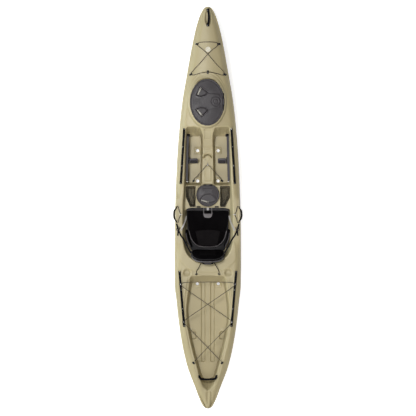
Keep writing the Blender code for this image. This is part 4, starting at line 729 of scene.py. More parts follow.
def foredeck(z, x, y):
    """The coaming under the bow hatch, a groove ahead of its lid and the hollow under the handle."""
    seat = egg(BOW_HATCH, 0.193, 0.262)
    foot = egg(BOW_HATCH, 0.201, 0.313, 0.27)
    to_foot, to_seat = inside(x, y, foot), inside(x, y, seat)
    gap = np.maximum(to_foot - to_seat, 0.001)
    z = z + (coaming_top() - z) * ramp((to_foot + 0.008) / (gap + 0.012), 0.3)
    z = z + 0.0042 * near(to_foot + 0.006, 0.0055) * eased((y - 1.15) / 0.1)
    to_lid = inside(x, y, egg(BOW_HATCH, *BOW_LID_HALF))
    z = z - 0.011 * near(to_lid + 0.008, 0.0055) * eased((y - 1.3) / 0.045)
    hollow = (0.004, 2.022)
    top = egg(hollow, 0.036, 0.086, 0.092)
    z = sunk(z, x, y, top, egg(hollow, 0.024, 0.066, 0.076), deck_z(0.0, 2.015) - 0.022, 0.005)
    z = z + 0.0018 * near(inside(x, y, top) + 0.009, 0.004)
    return z


def side_lines(z, x, y):
    """Beds beside the gear tracks, the dishes behind the seat and the shelves along the tankwell."""
    off = np.abs(x)
    off_track = np.abs(off - track_x(y))
    for (start, end), _ in TRACKS.values():
        along = eased((start + 0.028 - y) / 0.02) * eased((y - end + 0.028) / 0.02)
        z = z + along * 0.0022 * near(off_track - 0.0205, 0.0042)
    dish, dish_floor = egg(DISH, 0.043, 0.05), egg(DISH, 0.03, 0.034)
    scoop = eased((y + 0.744) / 0.06)
    z = z + (sunk(z, off, y, dish, dish_floor, deck_z(0.219, DISH[1]) - 0.0155, 0.004) - z) * scoop
    z = z + 0.002 * near(inside(off, y, dish) + 0.007, 0.0045) * scoop
    to_well = -inside(x, y, rounded(mirrored(TANKWELL_TOP)))
    shelf = eased((-0.75 - y) / 0.05) * eased((y + 1.62) / 0.2)
    z = z - 0.0035 * shelf * eased((0.030 - to_well) / 0.01) * (to_well > -0.01)
    z = z + 0.0018 * near(to_well - 0.036, 0.005) * eased((-0.72 - y) / 0.05) * eased((y + 1.9) / 0.05)
    return z


def behind_seat(z, x, y):
    """The raised plateau behind the seat, with its lip."""
    lip = rounded(mirrored(((0.29, -0.36, 0.04), (0.305, -0.545, 0.04), (0.262, -0.60, 0.05),
                            (0.2, -0.652, 0.05), (0.09, -0.685, 0.06))))
    return z + 0.0035 * within(x, y, lip, 0.004) * eased((0.33 - np.abs(x)) / 0.02)


def cockpit(z, x, y):
    """The cockpit's wells and the console between the footwells."""
    off = np.abs(x)
    # The console flares up into the foredeck
    flare = ramp((y - 0.62) / 0.24, 0.3) * ramp((0.15 - off) / 0.05, 0.5)
    console = PLATFORM_Z + (deck_z(x, 0.87) - PLATFORM_Z) * flare
    z = sunk(z, x, y, rounded(mirrored(COCKPIT_TOP)), rounded(mirrored(COCKPIT_FLOOR)), console)
    z = sunk(z, x, y, rounded(mirrored(SEAT_WELL_TOP)), rounded(mirrored(SEAT_WELL_FLOOR)), SEAT_Z, 0.005)
    footwell = rounded(FOOTWELL_TOP)
    z = sunk(z, off, y, footwell, rounded(FOOTWELL_FLOOR), FOOTWELL_Z, 0.006)
    z = sunk(z, off, y, rounded(TRAY_TOP), rounded(TRAY_FLOOR), TRAY_Z, 0.004)
    z = z + 0.0035 * near(inside(off, y, footwell) + 0.011, 0.009) * eased((y - 0.847) / 0.006)
    ledge = rounded([(0.232, 0.61, 0.01), (0.232, 0.525, 0.01), (0.212, 0.54, 0.01), (0.212, 0.6, 0.01)])
    z = np.maximum(z, sunk(z, off, y, grown(ledge, 0.002), grown(ledge, -0.004), 0.178, 0.003))
    # The console's front panel, and the boss with its arch and the ridge ahead of it
    z = z - 0.0045 * within(x, y, rounded(mirrored(((0.038, 0.85, 0.03), (0.038, 0.733, 0.006)))), 0.003)
    z = z + 0.003 * near(y - 0.617, 0.004) * eased((0.028 - off) / 0.006)
    boss_y = 0.523
    r = np.hypot(x, y - boss_y)
    arch = rounded(mirrored(((0.043, 0.586, 0.034), (0.043, 0.51, 0.006))))
    z = z - 0.005 * eased((inside(x, y, arch) + 0.002) / 0.006) * eased((y - boss_y) / 0.03)
    z = z - 0.02 * near(r - 0.042, 0.008) * eased((y - boss_y) / 0.02)
    z = z + (PLATFORM_Z + 0.003 - z) * eased((0.037 - r) / 0.005) - 0.0035 * near(r - 0.026, 0.0045)
    # The pad behind the boss, and the foot of the centre hatch's hinge
    z = z + 0.004 * within(x, y, box_outline(-0.032, 0.292, 0.032, 0.444, 0.008), 0.002)
    z = z - 0.0016 * within(x, y, box_outline(-0.022, 0.304, 0.022, 0.432, 0.006), 0.002)
    z = z + 0.0045 * within(x, y, rounded(mirrored(((0.062, 0.252, 0.01), (0.05, 0.284, 0.01)))), 0.003)
    # The hatch stands in a shallow ring with a gutter round it
    from_hatch = -inside(x, y, chorded_circle())
    return z - 0.003 * near(from_hatch - 0.011, 0.005) * (off < 0.137) * (z > 0.19)


def tankwell(z, x, y):
    """The tankwell with its grooves and pockets, the scuppers' sumps and the stern deck's grooves."""
    off = np.abs(x)
    # The lip in front dips in its middle
    z = z - 0.016 * eased((0.125 - off) / 0.09) * eased((-0.698 - y) / 0.034)
    floor = rounded(mirrored(TANKWELL_FLOOR))
    z = sunk(z, x, y, rounded(mirrored(TANKWELL_TOP)), floor, TANKWELL_Z)
    z = z - 0.012 * within(off, y, box_outline(0.029, -1.645, 0.07, -0.797, 0.012), 0.0045)
    # Pockets in the rear corners, each with a knob at its front
    pocket = rounded([(0.2, -1.325, 0.012), (0.186, -1.405, 0.015), (0.125, -1.405, 0.015),
                      (0.13, -1.325, 0.012)])
    z = z - 0.017 * within(off, y, pocket, 0.005)
    z = z + 0.007 * near(np.hypot(0.55 * (off - 0.168), y + 1.312), 0.012)
    for sx, sy in SCUPPERS:
        r = np.hypot(off - sx, y - sy)
        z = z + 0.0015 * near(r - 0.0225, 0.0035) - 0.0025 * eased((0.02 - r) / 0.006)
        square = np.maximum(np.abs(off - sx) - 0.033, np.abs(y - sy) - 0.034)
        z = z + 0.0045 * eased((0.002 - square) / 0.004) * (z < 0.17)
    z = z - 0.0022 * near(y + 1.845, 0.005) * (inside(x, y, floor) > -0.02)
    along = eased((-1.945 - y) / 0.015) * eased((y + 2.128) / 0.015)
    return z - along * (0.009 * near(x + 0.002, 0.014) + 0.007 * near(x - 0.037, 0.011))


def deck_surface(x, y):
    z = deck_z(x, y)
    for feature in (behind_seat, side_lines, foredeck, cockpit, tankwell):
        z = feature(z, x, y)
    return z


def bottom_share():
    """The section below the widest line, as shares of half the beam and of the height to the keel."""
    spline = through([(x, z, 0) for x, z, _ in SIDE[::-1]], 0.045)
    return np.array([(p.x, p.y) for p in spline])


def hull_rows():
    steps = np.arange(-2.13, 2.1301, 0.005)
    tips = LENGTH / 2 * (1 - np.array((0.0, 0.00012, 0.0004, 0.0008, 0.0014)))
    return np.unique(np.concatenate((steps, tips, -tips)))


def bent(t, start, turn, end):
    """A curve from start to end which leaves and arrives towards turn."""
    return start * (1 - t) ** 2 + turn * 2 * t * (1 - t) + end * t**2


def hull_form():
    rows = hull_rows()
    shares = np.linspace(-1, 1, 163)
    past = np.clip((np.abs(share_of(rows)) - 0.9975) / 0.0025, 0, 1)
    narrow = np.sqrt(np.maximum(0.0, 1 - past**2)) * 0.94 + 0.06
    beam = half_beam(rows) * narrow
    edge = gunwale_x(rows) * narrow
    x = edge[:, None] * shares[None, :]
    y = np.repeat(rows[:, None], len(shares), axis=1)
    # The deck rolls off towards the gunwale, little beside the carry handles and side buckles
    drop = ROLL_DROP * (1 - 0.9 * eased((rows + 0.48) / 0.14) * eased((0.17 - rows) / 0.1))
    to_edge = edge[:, None] * (1 - np.abs(shares))[None, :]
    z = deck_surface(x, y) - drop[:, None] * np.clip(1 - to_edge / ROLL_WIDTH, 0, 1) ** 2
    # The gunwale keeps its own height, so that the side below meets it
    rim, low, foot = gunwale(share_of(rows)) - drop, seam(share_of(rows)), keel(share_of(rows))
    hold = eased((np.abs(shares) - 0.955) / 0.045)[None, :]
    z = z * (1 - hold) + rim[:, None] * hold
    t = np.linspace(0, 1, 11)[None, 1:]
    edge, beam, low, foot, top = (values[:, None] for values in (edge, beam, low, foot, rim))
    side_x = bent(t, edge, beam - 0.1 * (beam - edge), beam)
    side_z = bent(t, top, low + 0.74 * (top - low), low)
    bottom = bottom_share()[1:]
    low_x = beam * bottom[None, :, 0]
    low_z = foot + (low - foot) * bottom[None, :, 1]
    low_z = low_z + near(low_x - 0.115, 0.02) * 0.006 * eased((1.35 - np.abs(rows)) / 0.25)[:, None]
    right = np.stack((np.concatenate((side_x, low_x), 1), np.concatenate((side_z, low_z), 1)), axis=2)
    left = right[:, ::-1][:, 1:].copy()
    left[:, :, 0] *= -1
    rings = np.concatenate((np.stack((x, z), axis=2), right, left), axis=1)
    return rings_form([[(px, row, pz) for px, pz in ring] for row, ring in zip(rows, rings.tolist())])


def cut_out(made, forms):
    """Takes closed forms, which stay clear of each other, out of a piece."""
    cutter = added("cutter", joined("cutter", forms))
    tidy(cutter)
    applied(made, "BOOLEAN", object=cutter, operation="DIFFERENCE", solver="EXACT")
    bpy.data.objects.remove(cutter)


def levelled(*rings):
    """A form whose rings are flat outlines, each with its height."""
    return [[(x, y, z) for x, y in outline] for outline, z in rings]


def make_hull():
    hull = piece("hull_shell", hull_form(), hull_plastic, replaces=("hull",), smooth_deg=HULL_SHARP_DEG)
    cutters = []
    for x, y in SCUPPERS:
        for side, _ in SIDES:
            low, high = (np.add((side * x, y), circle(radius, 32)) for radius in (0.0185, SCUPPER_RADIUS))
            cutters.append(rings_form(levelled((low, -0.02), (high, 0.05), (high, 0.2))))
    seat = coaming_top()
    opening = grown(egg(BOW_HATCH, *BOW_LID_HALF), -OPENING_INSET)
    cutters.append(rings_form(levelled((grown(opening, -0.012), 0.1), (grown(opening, 0.004), seat - 0.03),
                                       (opening, seat - 0.006), (opening, seat + 0.02))))
    cut_out(hull, cutters)
    # The centre hatch's opening: deck faces left out, and a well of its own with a lip under the rim
    opening = grown(chorded_circle(), -OPENING_INSET)
    form = bmesh.new()
    form.from_mesh(hull.data)
    at = np.array([face.calc_center_median() for face in form.faces])
    gone = (inside(at[:, 0], at[:, 1], opening) > -0.005) & (at[:, 2] > 0.15)
    bmesh.ops.delete(form, geom=[face for face, out in zip(form.faces[:], gone) if out], context="FACES")
    form.to_mesh(hull.data)
    form.free()
    hull.data.shade_smooth()
    hull.data.set_sharp_from_angle(angle=math.radians(HULL_SHARP_DEG))
    well = levelled(*((grown(opening, out), z) for out, z in (
        (0.013, PLATFORM_Z - 0.0006), (0, PLATFORM_Z - 0.0006), (-0.001, PLATFORM_Z - 0.003), (-0.008, 0.06),
        (-0.012, 0.048), (-0.02, 0.045))))
    for share in (0.4, 0.02):
        well.append([(share * x, CENTRE_HATCH[1] + share * (y - CENTRE_HATCH[1]), z) for x, y, z in well[-1]])
    piece("hull_centre_well", rings_form(well, caps=False), hull_plastic)


# Hatches
def outline_rings(outline, centre, shares):
    return [np.asarray(centre) + (np.asarray(outline) - centre) * share for share in shares]


LEVER_REACH = 0.074
LEVER_ROOM = 0.0122


def latch_pocket(pivot, shut_deg, swing_deg):
    """The hollow that a lever lies and swings in."""
    start, end = sorted((shut_deg, shut_deg + swing_deg))
    arc = [np.add(pivot, turned(LEVER_REACH, 0, start + (end - start) * i / 16)) for i in range(17)]
    return grown(np.array([pivot] + arc), LEVER_ROOM)


def lid_form(outline, centre, low, height):
    """A lid: an underside, a rounded edge, and a top whose height is a function of place."""
    shares = np.concatenate((np.linspace(0.985, 0.9, 10), np.linspace(0.885, 0.02, 58)))
    rings = levelled((grown(outline, -0.004), low), (outline, low + 0.0015), (outline, low + 0.009),
                     (grown(outline, -0.0016), low + 0.0112))
    for ring in outline_rings(outline, centre, shares):
        rings.append(list(zip(ring[:, 0], ring[:, 1], height(ring[:, 0], ring[:, 1]))))
    return rings_form(rings)


def dense(outline, step=0.0045):
    """The outline with a point about every step."""
    found = []
    for a, b in zip(outline, np.roll(outline, -1, axis=0)):
        pieces = max(1, round(float(np.linalg.norm(b - a)) / step))
        found += [a + (b - a) * k / pieces for k in range(pieces)]
    return np.array(found)


# Each latch: its pivot, the lever's direction when shut, and its swing
BOW_LATCHES = {"bow_latch_front": ((-0.074, 1.264), -116, 80), "bow_latch_rear": ((-0.064, 0.98), 131, -87)}
CENTRE_LATCH = ((0.0, 0.0595), 163, -146)


def pocketed(z, x, y, low, latch, rim_at, width):
    """A lid's top, lowered where a lever lies and with a rim round that hollow."""
    depth = inside(x, y, latch_pocket(*latch))
    z = z + (low + 0.0072 - z) * ramp((depth + 0.001) / 0.006, 0.3)
    return z + 0.0014 * near(depth + rim_at, width), depth


def bow_lid_height(low):
    outline = egg(BOW_HATCH, *BOW_LID_HALF)
    boss = np.array((0.088, 1.127))
    band = rounded([(0.128, 1.202, 0.02), (0.004, 1.208, 0.01), (-0.052, 1.165, 0.02),
                    (-0.052, 1.088, 0.02), (0.004, 1.045, 0.01), (0.128, 1.052, 0.02)])

    def height(x, y):
        depth = inside(x, y, outline)
        z = low + 0.0116 + 0.0085 * eased(depth / 0.12)
        z = z - 0.0026 * near(depth - 0.012, 0.005)
        # The raised band across the middle, between the two fans
        z = z + 0.0028 * within(x, y, band, 0.004)
        for latch in BOW_LATCHES.values():
            z, depth = pocketed(z, x, y, low, latch, 0.006, 0.004)
            z = z - 0.003 * near(depth - 0.006, 0.004)
        r = np.hypot(x - boss[0], y - boss[1])
        z = z - 0.003 * near(r - 0.049, 0.0045) - 0.0022 * near(r - 0.024, 0.005)
        for place in np.arange(-3, 4):
            line = near(x + 0.118 - 0.011 * place, 0.0022) * eased((0.034 - np.abs(y - boss[1])) / 0.006)
            z = z - 0.0012 * line
        return z
    return dense(outline), height


def centre_lid_height(low):
    outline = chorded_circle()
    band = rounded(mirrored(((0.062, 0.206, 0.008), (0.04, 0.168, 0.012))))

    def height(x, y):
        depth = inside(x, y, outline)
        z = low + 0.0116 + 0.0075 * eased(depth / 0.08)
        z = z - 0.0022 * near(depth - 0.011, 0.0045)
        z, _ = pocketed(z, x, y, low, CENTRE_LATCH, 0.005, 0.0035)
        return z + 0.0026 * within(x, y, band, 0.003)
    return dense(outline, 0.0035), height


def make_lid(place, centre, low, outline, height, knuckle, web):
    """A hatch's lid with its hinge's knuckle, and the finishes of its seal, rim and hinge pin."""
    body = place + "_lid"
    lid = piece(place + "_hatch_cover", lid_form(outline, centre, low, height), lid_plastic, body,
                (place + "_hatch_lid",))
    piece(place + "_hatch_knuckle", [tube_form(knuckle, KNUCKLE_RADIUS, 20), web], lid_plastic, body)
    dress(seal_rubber, place + "_hatch_seal")
    dress(dark_steel, place + "_hatch_hinge_pin")
    softened(place + "_rim_frame", place + "_hatch_rim", black_plastic, 0.0008)
    return lid


def make_lids():
    low = coaming_top() + LID_RISE
    x, z = BOW_HINGE_X, low + HINGE_RISE
    lid = make_lid("bow", BOW_HATCH, low, *bow_lid_height(low), [(x, y, z) for y in (1.154, 1.096)],
                   block_form((x - 0.011, BOW_HINGE_Y, z), (0.02, 0.058, 0.005)))
    cut_out(lid, [block_form((x + 0.05 - HINGE_GAP, BOW_HINGE_Y, low), (0.1, 0.192, 0.1), bevel=0.001)])
    tidy(lid)
    low = PLATFORM_Z + LID_RISE
    y, z = CENTRE_HATCH[1] + CENTRE_CHORD_AHEAD + HINGE_GAP, low + HINGE_RISE
    make_lid("centre", CENTRE_HATCH, low, *centre_lid_height(low), [(x, y, z) for x in (0.0163, -0.0163)],
             block_form((0, y - 0.006, z), (0.0326, 0.012, 0.005)))
    for name, (pivot, shut, _) in {**BOW_LATCHES, "centre_latch": CENTRE_LATCH}.items():
        softened(name + "_lever", name, lever_plastic, 0.0016, name)
        z = top_of(name)
        forms = [lathe_form([(0.0, -0.001), (0.0068, -0.001), (0.0068, 0.0012), (0.0056, 0.002), (0, 0.002)],
                            (*pivot, z), sides=24)]
        for k in range(4):
            rib = np.add(pivot, turned(0.04 + 0.007 * k, 0, shut))
            forms.append(block_form((*rib, z), (0.0016, 0.009, 0.0016), shut, 0.0006))
        piece(name + "_cap", forms, grey_plastic, name)


# Cords, eyes and gear tracks: each eye, and the direction of its two screws
EYES = {"bow_eye_front_left": -187, "bow_eye_front_right": 187, "bow_eye_rear_left": -165,
        "bow_eye_rear_right": 165, "bow_eye_centre": 90, "side_eye_left": 0, "side_eye_right": 0}
EYE_SCREW = {"radius": 0.0026, "height": 0.0012}
EYE_BUTTON = ((0, 0.0118), (0.003375, 0.0118), (0.00465, 0.0126), (0.00495, 0.0142), (0.004125, 0.0158),
              (0, 0.0162))
EYE_BASE = ((0, 0.0004), (0.0145, 0.0004), (0.0155, 0.003), (0.0145, 0.0085), (0.0115, 0.0112), (0, 0.0118))
CONSOLE_EYE_Y = 0.4625
BADGE = (0.003, 1.679)
BADGE_FORM = ((0, -0.004), (0.0265, -0.004), (0.0275, 0.0012), (0.0262, 0.0026), (0.0235, 0.0027),
              (0.0228, 0.002), (0, 0.0022))
# The ends of the tankwell's and the console's cords: place, height and direction
CLEATS = ((0.1515, -1.649, deck_z(0.1515, -1.649) + 0.0035, 40), (0.152, 0.2895, FOOTWELL_Z + 0.006, -45))


def deck_normal(x, y):
    step = 0.004
    slope_x = (deck_z(x + step, y) - deck_z(x - step, y)) / (2 * step)
    slope_y = (deck_z(x, y + step) - deck_z(x, y - step)) / (2 * step)
    return Vector((-slope_x, -slope_y, 1)).normalized()


def deck_standing(x, y, lift):
    return standing((x, y, deck_z(x, y) + lift), deck_normal(x, y))


def make_rigging():
    heads, bases = [], []
    softened("console_eye_strap", "console_eye", dark_steel, 0.0005)
    for node, degrees in EYES.items():
        bow = node.startswith("bow_eye")
        softened(node + "_strap", node, black_plastic if bow else pale_plastic, 0.0005)
        at = box_middle(node)
        if bow:
            place = deck_standing(at.x, at.y, 0.0012) @ Matrix.Rotation(math.radians(degrees), 4, "Z")
            bases.append(block_form(place, (0.037, 0.021, 0.0034), bevel=0.004))
        for push in (-EYE_SCREW_OFFSET, EYE_SCREW_OFFSET):
            x, y = np.add((at.x, at.y), turned(push, 0, degrees))
            heads.append(screw_form((x, y, deck_z(x, y) + 0.0028), deck_normal(x, y), **EYE_SCREW))
    for push in (-EYE_SCREW_OFFSET, EYE_SCREW_OFFSET):
        heads.append(screw_form((0, CONSOLE_EYE_Y + push, PLATFORM_Z + 0.0024), **EYE_SCREW))
    piece("eye_screws", heads, steel)
    piece("eye_bases", bases, black_plastic)
    badge = lathe_form(BADGE_FORM, (*BADGE, deck_z(0, BADGE[1])), sides=48)
    piece("badge_disc", badge, disc_plastic)
    for node in ("bow_bungee", "console_bungee", "tankwell_bungee"):
        smoothed(node + "_cord", node, bungee, swell=0.0008)
    cleats = []
    for side, word in SIDES:
        node = "side_bungee_" + word
        smoothed(node + "_cord", node, black_cord, swell=0.0016)
        for x, y, z, degrees in CLEATS:
            cleats.append(block_form((side * x, y, z), (0.031, 0.02, 0.009), side * degrees, 0.004))
            cleats.append(block_form((side * x, y, z + 0.005), (0.012, 0.013, 0.007), side * degrees, 0.003))
    piece("cord_cleats", cleats, black_plastic)


def track_spot(side, span, y):
    """A place on a track's top."""
    front, back = [np.array((side * track_x(v), v, deck_z(track_x(v), v) - TRACK_SUNK)) for v in span]
    return front + (back - front) * (y - front[1]) / (back[1] - front[1]) + np.array((0, 0, TRACK_HEIGHT))


def make_tracks():
    """The tracks' finish, their screws, and the base and pale button of each eye on them."""
    for side, word in SIDES:
        heads = []
        for place, (span, spots) in TRACKS.items():
            dress(track_metal, f"track_{place}_{word}")
            for y in spots:
                x, py, z = track_spot(side, span, y)
                # Screws away from the ends sit on the slot's floor
                if min(abs(y - end) for end in span) > 0.02:
                    z -= TRACK_SLOT_DEPTH
                heads.append(screw_form((x, py, z), radius=0.0036, height=0.0014))
        piece(f"track_screws_{word}", heads, steel)
        spots = [track_spot(side, TRACKS["rear"][0], y) for y in TRACK_EYES]
        piece(f"track_eye_buttons_{word}", [lathe_form(EYE_BUTTON, at) for at in spots], pale_plastic)
        piece(f"track_eye_bases_{word}", [lathe_form(EYE_BASE, at, sides=28) for at in spots], black_plastic)


# Foot braces and handles
RAIL_ENDS = ((0.2068, 0.782), (0.2188, 0.282))
RAIL_Z = 0.165
PEDAL_Y = 0.505
PEDAL_LEAN_DEG = 66
TREADS = 6
TREAD_STEP = 0.0135


def make_foot_braces():
    for side, word in SIDES:
        rail, slider, pedal = (f"foot_{part}_{word}" for part in ("rail", "slider", "pedal"))
        softened(rail + "_bar", rail, grey_plastic, 0.0014)
        softened(slider + "_block", slider, black_plastic, 0.0012, slider)
        softened(pedal + "_plate", pedal, pedal_grey, 0.0035, f"pedal_{word}")
        turn = turned_at((box_middle(pedal).x, PEDAL_Y, RAIL_Z), PEDAL_LEAN_DEG, "X")
        treads = []
        for k in range(TREADS):
            place = turn @ Matrix.Translation((0, -0.048 + TREAD_STEP * k, 0.0084))
            width = 0.072 if 0 < k < TREADS - 1 else 0.06
            treads.append(block_form(place, (width, 0.0052, 0.003), bevel=0.0012))
        piece(pedal + "_treads", treads, black_plastic, f"pedal_{word}")
        front, back = (Vector((side * x, y, RAIL_Z)) for x, y in RAIL_ENDS)
        inward = Vector((-side, 0, 0))
        heads = [screw_form(front.lerp(back, share) + inward * 0.0015, inward, 0.0042, 0.002)
                 for share in (0.03, 0.35, 0.66, 0.97)]
        piece(rail + "_screws", heads, steel)
        end = block_form((side * 0.2055, 0.773, 0.193), (0.035, 0.03, 0.022), bevel=0.004)
        piece(rail + "_ends", end, black_plastic)
        flange = [(side * x, y, 0.2022) for x, y in ((0.2125, 0.785), (0.2235, 0.53), (0.2305, 0.292))]
        web = [front.lerp(back, share) + Vector((0, 0, 0.0165)) for share in (0, 0.5, 1)]
        forms = [strap_form(through(flange, 0.03), 0.0265, 0.0036),
                 sweep_form(web, [(-0.004, -0.002), (0.004, -0.002), (0.004, 0.021), (-0.004, 0.021)])]
        piece(rail + "_flange", forms, grey_plastic)
        stop = block_form(back + Vector((0, -0.004, 0.0005)), (0.0195, 0.012, 0.034), bevel=0.003)
        piece(rail + "_stop", stop, pale_plastic)


STERN_GRIP = ((0.0895, -1.7805), (0.0885, -1.797), (0.0805, -1.8125), (0.05, -1.8195), (0, -1.8225))
STERN_GRIP_RADIUS = 0.0118
BOW_HANDLE_ENDS = (2.09, 1.94)
BOW_HANDLE_RISE = 0.0255


def make_end_handles():
    level = box_middle("stern_handle").z
    grip = through(mirrored([(x, y, level) for x, y in STERN_GRIP]), 0.006)
    piece("stern_handle_grip", tube_form(grip, STERN_GRIP_RADIUS, 18), handle_rubber, "stern_handle",
          ("stern_handle",))
    front, back = (Vector((0, y, deck_z(0, y) + 0.0042)) for y in BOW_HANDLE_ENDS)
    arch = []
    for k in range(21):
        lift = math.sin(math.pi * k / 20) ** 0.7
        arch.append(front.lerp(back, k / 20) + Vector((0.001 + 0.0105 * lift, 0, BOW_HANDLE_RISE * lift)))
    strap = [strap_form(arch, 0.0235, 0.0068, across=(1, 0, 0))]
    heads = []
    for y in (2.0945, 1.9365):
        strap.append(block_form(deck_standing(0, y, 0.0048), (0.031, 0.031, 0.0085), bevel=0.0022))
        heads.append(screw_form((0, y, deck_z(0, y) + 0.0092), deck_normal(0, y), 0.0048, 0.0016))
    piece("bow_handle_strap", strap, handle_rubber, replaces=("bow_handle",))
    piece("bow_handle_screws", heads, dark_steel)


SIDE_HANDLE_X, SIDE_HANDLE_Z = 0.332, 0.2988
SIDE_GRIP_Y, SIDE_GRIP_LENGTH = -0.018, 0.11
SIDE_GRIP_REACH = 0.03


def make_side_handles():
    for side, word in SIDES:
        handle = "side_handle_" + word
        smoothed(handle + "_grip", handle, handle_rubber, handle, swell=0.0014)
        softened(handle + "_bracket", f"side_handle_bracket_{word}", hull_plastic, 0.0012)
        caps = [block_form((side * SIDE_HANDLE_X, y, SIDE_HANDLE_Z), (0.0172, 0.0092, 0.0176), bevel=0.003)
                for y in (0.0118, -0.1578)]
        piece(handle + "_caps", caps, black_plastic)
        softened(f"stern_lug_{word}", f"stern_handle_lug_{word}", black_plastic, 0.0018)
        path = []
        for k in range(41):
            out = SIDE_GRIP_REACH * math.sin(math.pi * (0.12 + 0.76 * k / 40)) ** 0.55
            path.append(Vector((side * (SIDE_HANDLE_X + out * 0.94),
                                SIDE_GRIP_Y - SIDE_GRIP_LENGTH * k / 40, SIDE_HANDLE_Z - out * 0.342)))
        ribs = []
        for k in range(3, 38, 2):
            ahead = (path[k + 1] - path[k - 1]) * 0.17
            ribs.append(tube_form([path[k] - ahead, path[k] + ahead], 0.0122, 16))
        piece(handle + "_ribs", ribs, handle_rubber, handle)


# Padded pieces
CLOTH_FRAMES = 20
CLOTH = {"use_pressure": True, "uniform_pressure_force": 4.0, "tension_stiffness": 18,
         "compression_stiffness": 12, "shear_stiffness": 8, "bending_stiffness": 1.2}


def swollen(made, cap):
    """Fills a closed form with air by cloth simulation. No point moves further than the cap."""
    applied(made, "REMESH", mode="VOXEL", voxel_size=0.005)
    mesh = made.data
    start = values_of(mesh.vertices, "co")
    cloth = made.modifiers.new("cloth", "CLOTH")
    for key, value in CLOTH.items():
        setattr(cloth.settings, key, value)
    cloth.settings.effector_weights.gravity = 0
    cloth.point_cache.frame_start = 1
    cloth.point_cache.frame_end = CLOTH_FRAMES
    scene = bpy.context.scene
    for number in range(1, CLOTH_FRAMES + 1):
        scene.frame_set(number)
    graph = bpy.context.evaluated_depsgraph_get()
    end = values_of(made.evaluated_get(graph).to_mesh().vertices, "co")
    made.modifiers.remove(cloth)
    scene.frame_set(1)
    if end.shape == start.shape and np.isfinite(end).all():
        move = end - start
        length = np.linalg.norm(move, axis=1, keepdims=True)
        move *= np.minimum(1.0, cap / np.maximum(length, 1e-9))
        mesh.vertices.foreach_set("co", (start + move).ravel())
    applied(made, "SUBSURF", levels=1, render_levels=1)


def pad_form(outline, middle, base, thickness, crown, place, pull=0.004):
    """A closed pad: sides drawn in a little under the edge and a crowned top."""
    outline = dense(outline, 0.005)
    shares = np.linspace(0.1, 0.94, 18)
    rings = [(ring, base) for ring in outline_rings(grown(outline, -0.01), middle, shares)]
    for inset, share in ((0.01, 0), (0.002, 0.06), (0, 0.22), (0.4 * pull, 0.45), (0.5 * pull, 0.6),
                         (0.002, 0.8), (0.006, 0.93), (0.012, 1.0)):
        rings.append((grown(outline, -inset), base + thickness * share))
    shares = np.linspace(0.97, 0.06, 34)
    for share, ring in zip(shares, outline_rings(grown(outline, -0.012), middle, shares)):
        rings.append((ring, base + thickness + crown * (1 - share**2)))
    return rings_form([[place(x, y, out) for x, y in ring] for ring, out in rings])


def values_of(items, key):
    """One vector of each of a mesh's items, as rows."""
    found = np.empty(len(items) * 3)
    items.foreach_get(key, found)
    return found.reshape(-1, 3)


def cloth_pad(name, form, finish, body, replaces, cap):
    """A padded piece, filled with air."""
    made = piece(name, form, finish, body, replaces, smooth_deg=70)
    swollen(made, cap)
    finished(made, finish)
    return made


def sewn(made, unplace, level, seams, panel, belongs):
    """Presses seams into a pad's upper side, and gives the faces of one panel a second cloth."""
    mesh = made.data
    mesh.update()
    points, normals = values_of(mesh.vertices, "co"), values_of(mesh.vertex_normals, "vector")
    u, v, out = unplace(points)
    depth = np.where(out > level, seams(u, v), 0)
    mesh.vertices.foreach_set("co", (points - normals * depth[:, None]).ravel())
    mesh.update()
    mesh.materials.append(panel)
    u, v, out = unplace(values_of(mesh.polygons, "center"))
    mesh.polygons.foreach_set("material_index", ((out > level) & belongs(u, v)).astype(np.int32))
    mesh.shade_smooth()


def groove(distance, width=0.007):
    share = np.minimum(1.0, np.abs(distance) / width)
    return (1 - share**2) ** 2


PAN_OUTLINE = rounded(mirrored(((0.231, -0.024, 0.022), (0.2245, -0.17, 0.06), (0.208, -0.25, 0.04),
                                (0.190, -0.31, 0.04), (0.165, -0.365, 0.04), (0.108, -0.416, 0.04),
                                (0, -0.428, 0.03))))
CUSHION_BASE = 0.1268
CUSHION_THICKNESS = 0.0245
PAN_SEAM_Z = 0.146
PAN_TOP = 0.1545
PIPING_RADIUS = 0.0032


def panel_line(y):
    """Half the width of the pan's rear panel."""
    return 0.134 + 0.23 * (y + 0.25)


def arc_line(x):
    """The front edge of the pan's rear panel."""
    return -0.236 - 0.9 * x * x


def pan_seams(x, y):
    front = 0.0045 * groove(y - arc_line(x)) * (np.abs(x) < 0.17)
    flanks = 0.004 * groove(np.abs(x) - panel_line(y)) * (y < arc_line(x))
    edge = 0.003 * groove(inside(x, y, PAN_OUTLINE) - 0.028, 0.006)
    return np.maximum(np.maximum(front, flanks), edge)


def make_seat_pan():
    softened("seat_pan_base", "seat_base", black_plastic, 0.0025)
    dress(dark_steel, "seat_hinge_rod")
    form = pad_form(PAN_OUTLINE, (0, -0.2), CUSHION_BASE, CUSHION_THICKNESS, 0.006,
                    lambda x, y, z: (x, y, z))
    pan = cloth_pad("seat_pan_cushion", form, seat_fabric, "hull", ("seat_cushion",), 0.005)
    sewn(pan, np.transpose, PAN_SEAM_Z, pan_seams, panel_fabric,
         lambda x, y: (y < arc_line(x)) & (np.abs(x) < panel_line(y)) & (y > -0.405))
    edge = [(x, y, PAN_TOP - 0.003) for x, y in dense(grown(PAN_OUTLINE, -0.006), 0.012)]
    piece("seat_pan_piping", tube_form(edge, PIPING_RADIUS, 12, closed=True), piping_cloth)
    # The paler piping round the back of the pan
    rear = mirrored(((0.2, -0.245, 0.156), (0.188, -0.30, 0.157), (0.165, -0.352, 0.158),
                     (0.108, -0.405, 0.159), (0.05, -0.417, 0.1595)))
    piece("seat_rear_piping", tube_form(through(rear, 0.008), 0.0038, 12), pale_piping)


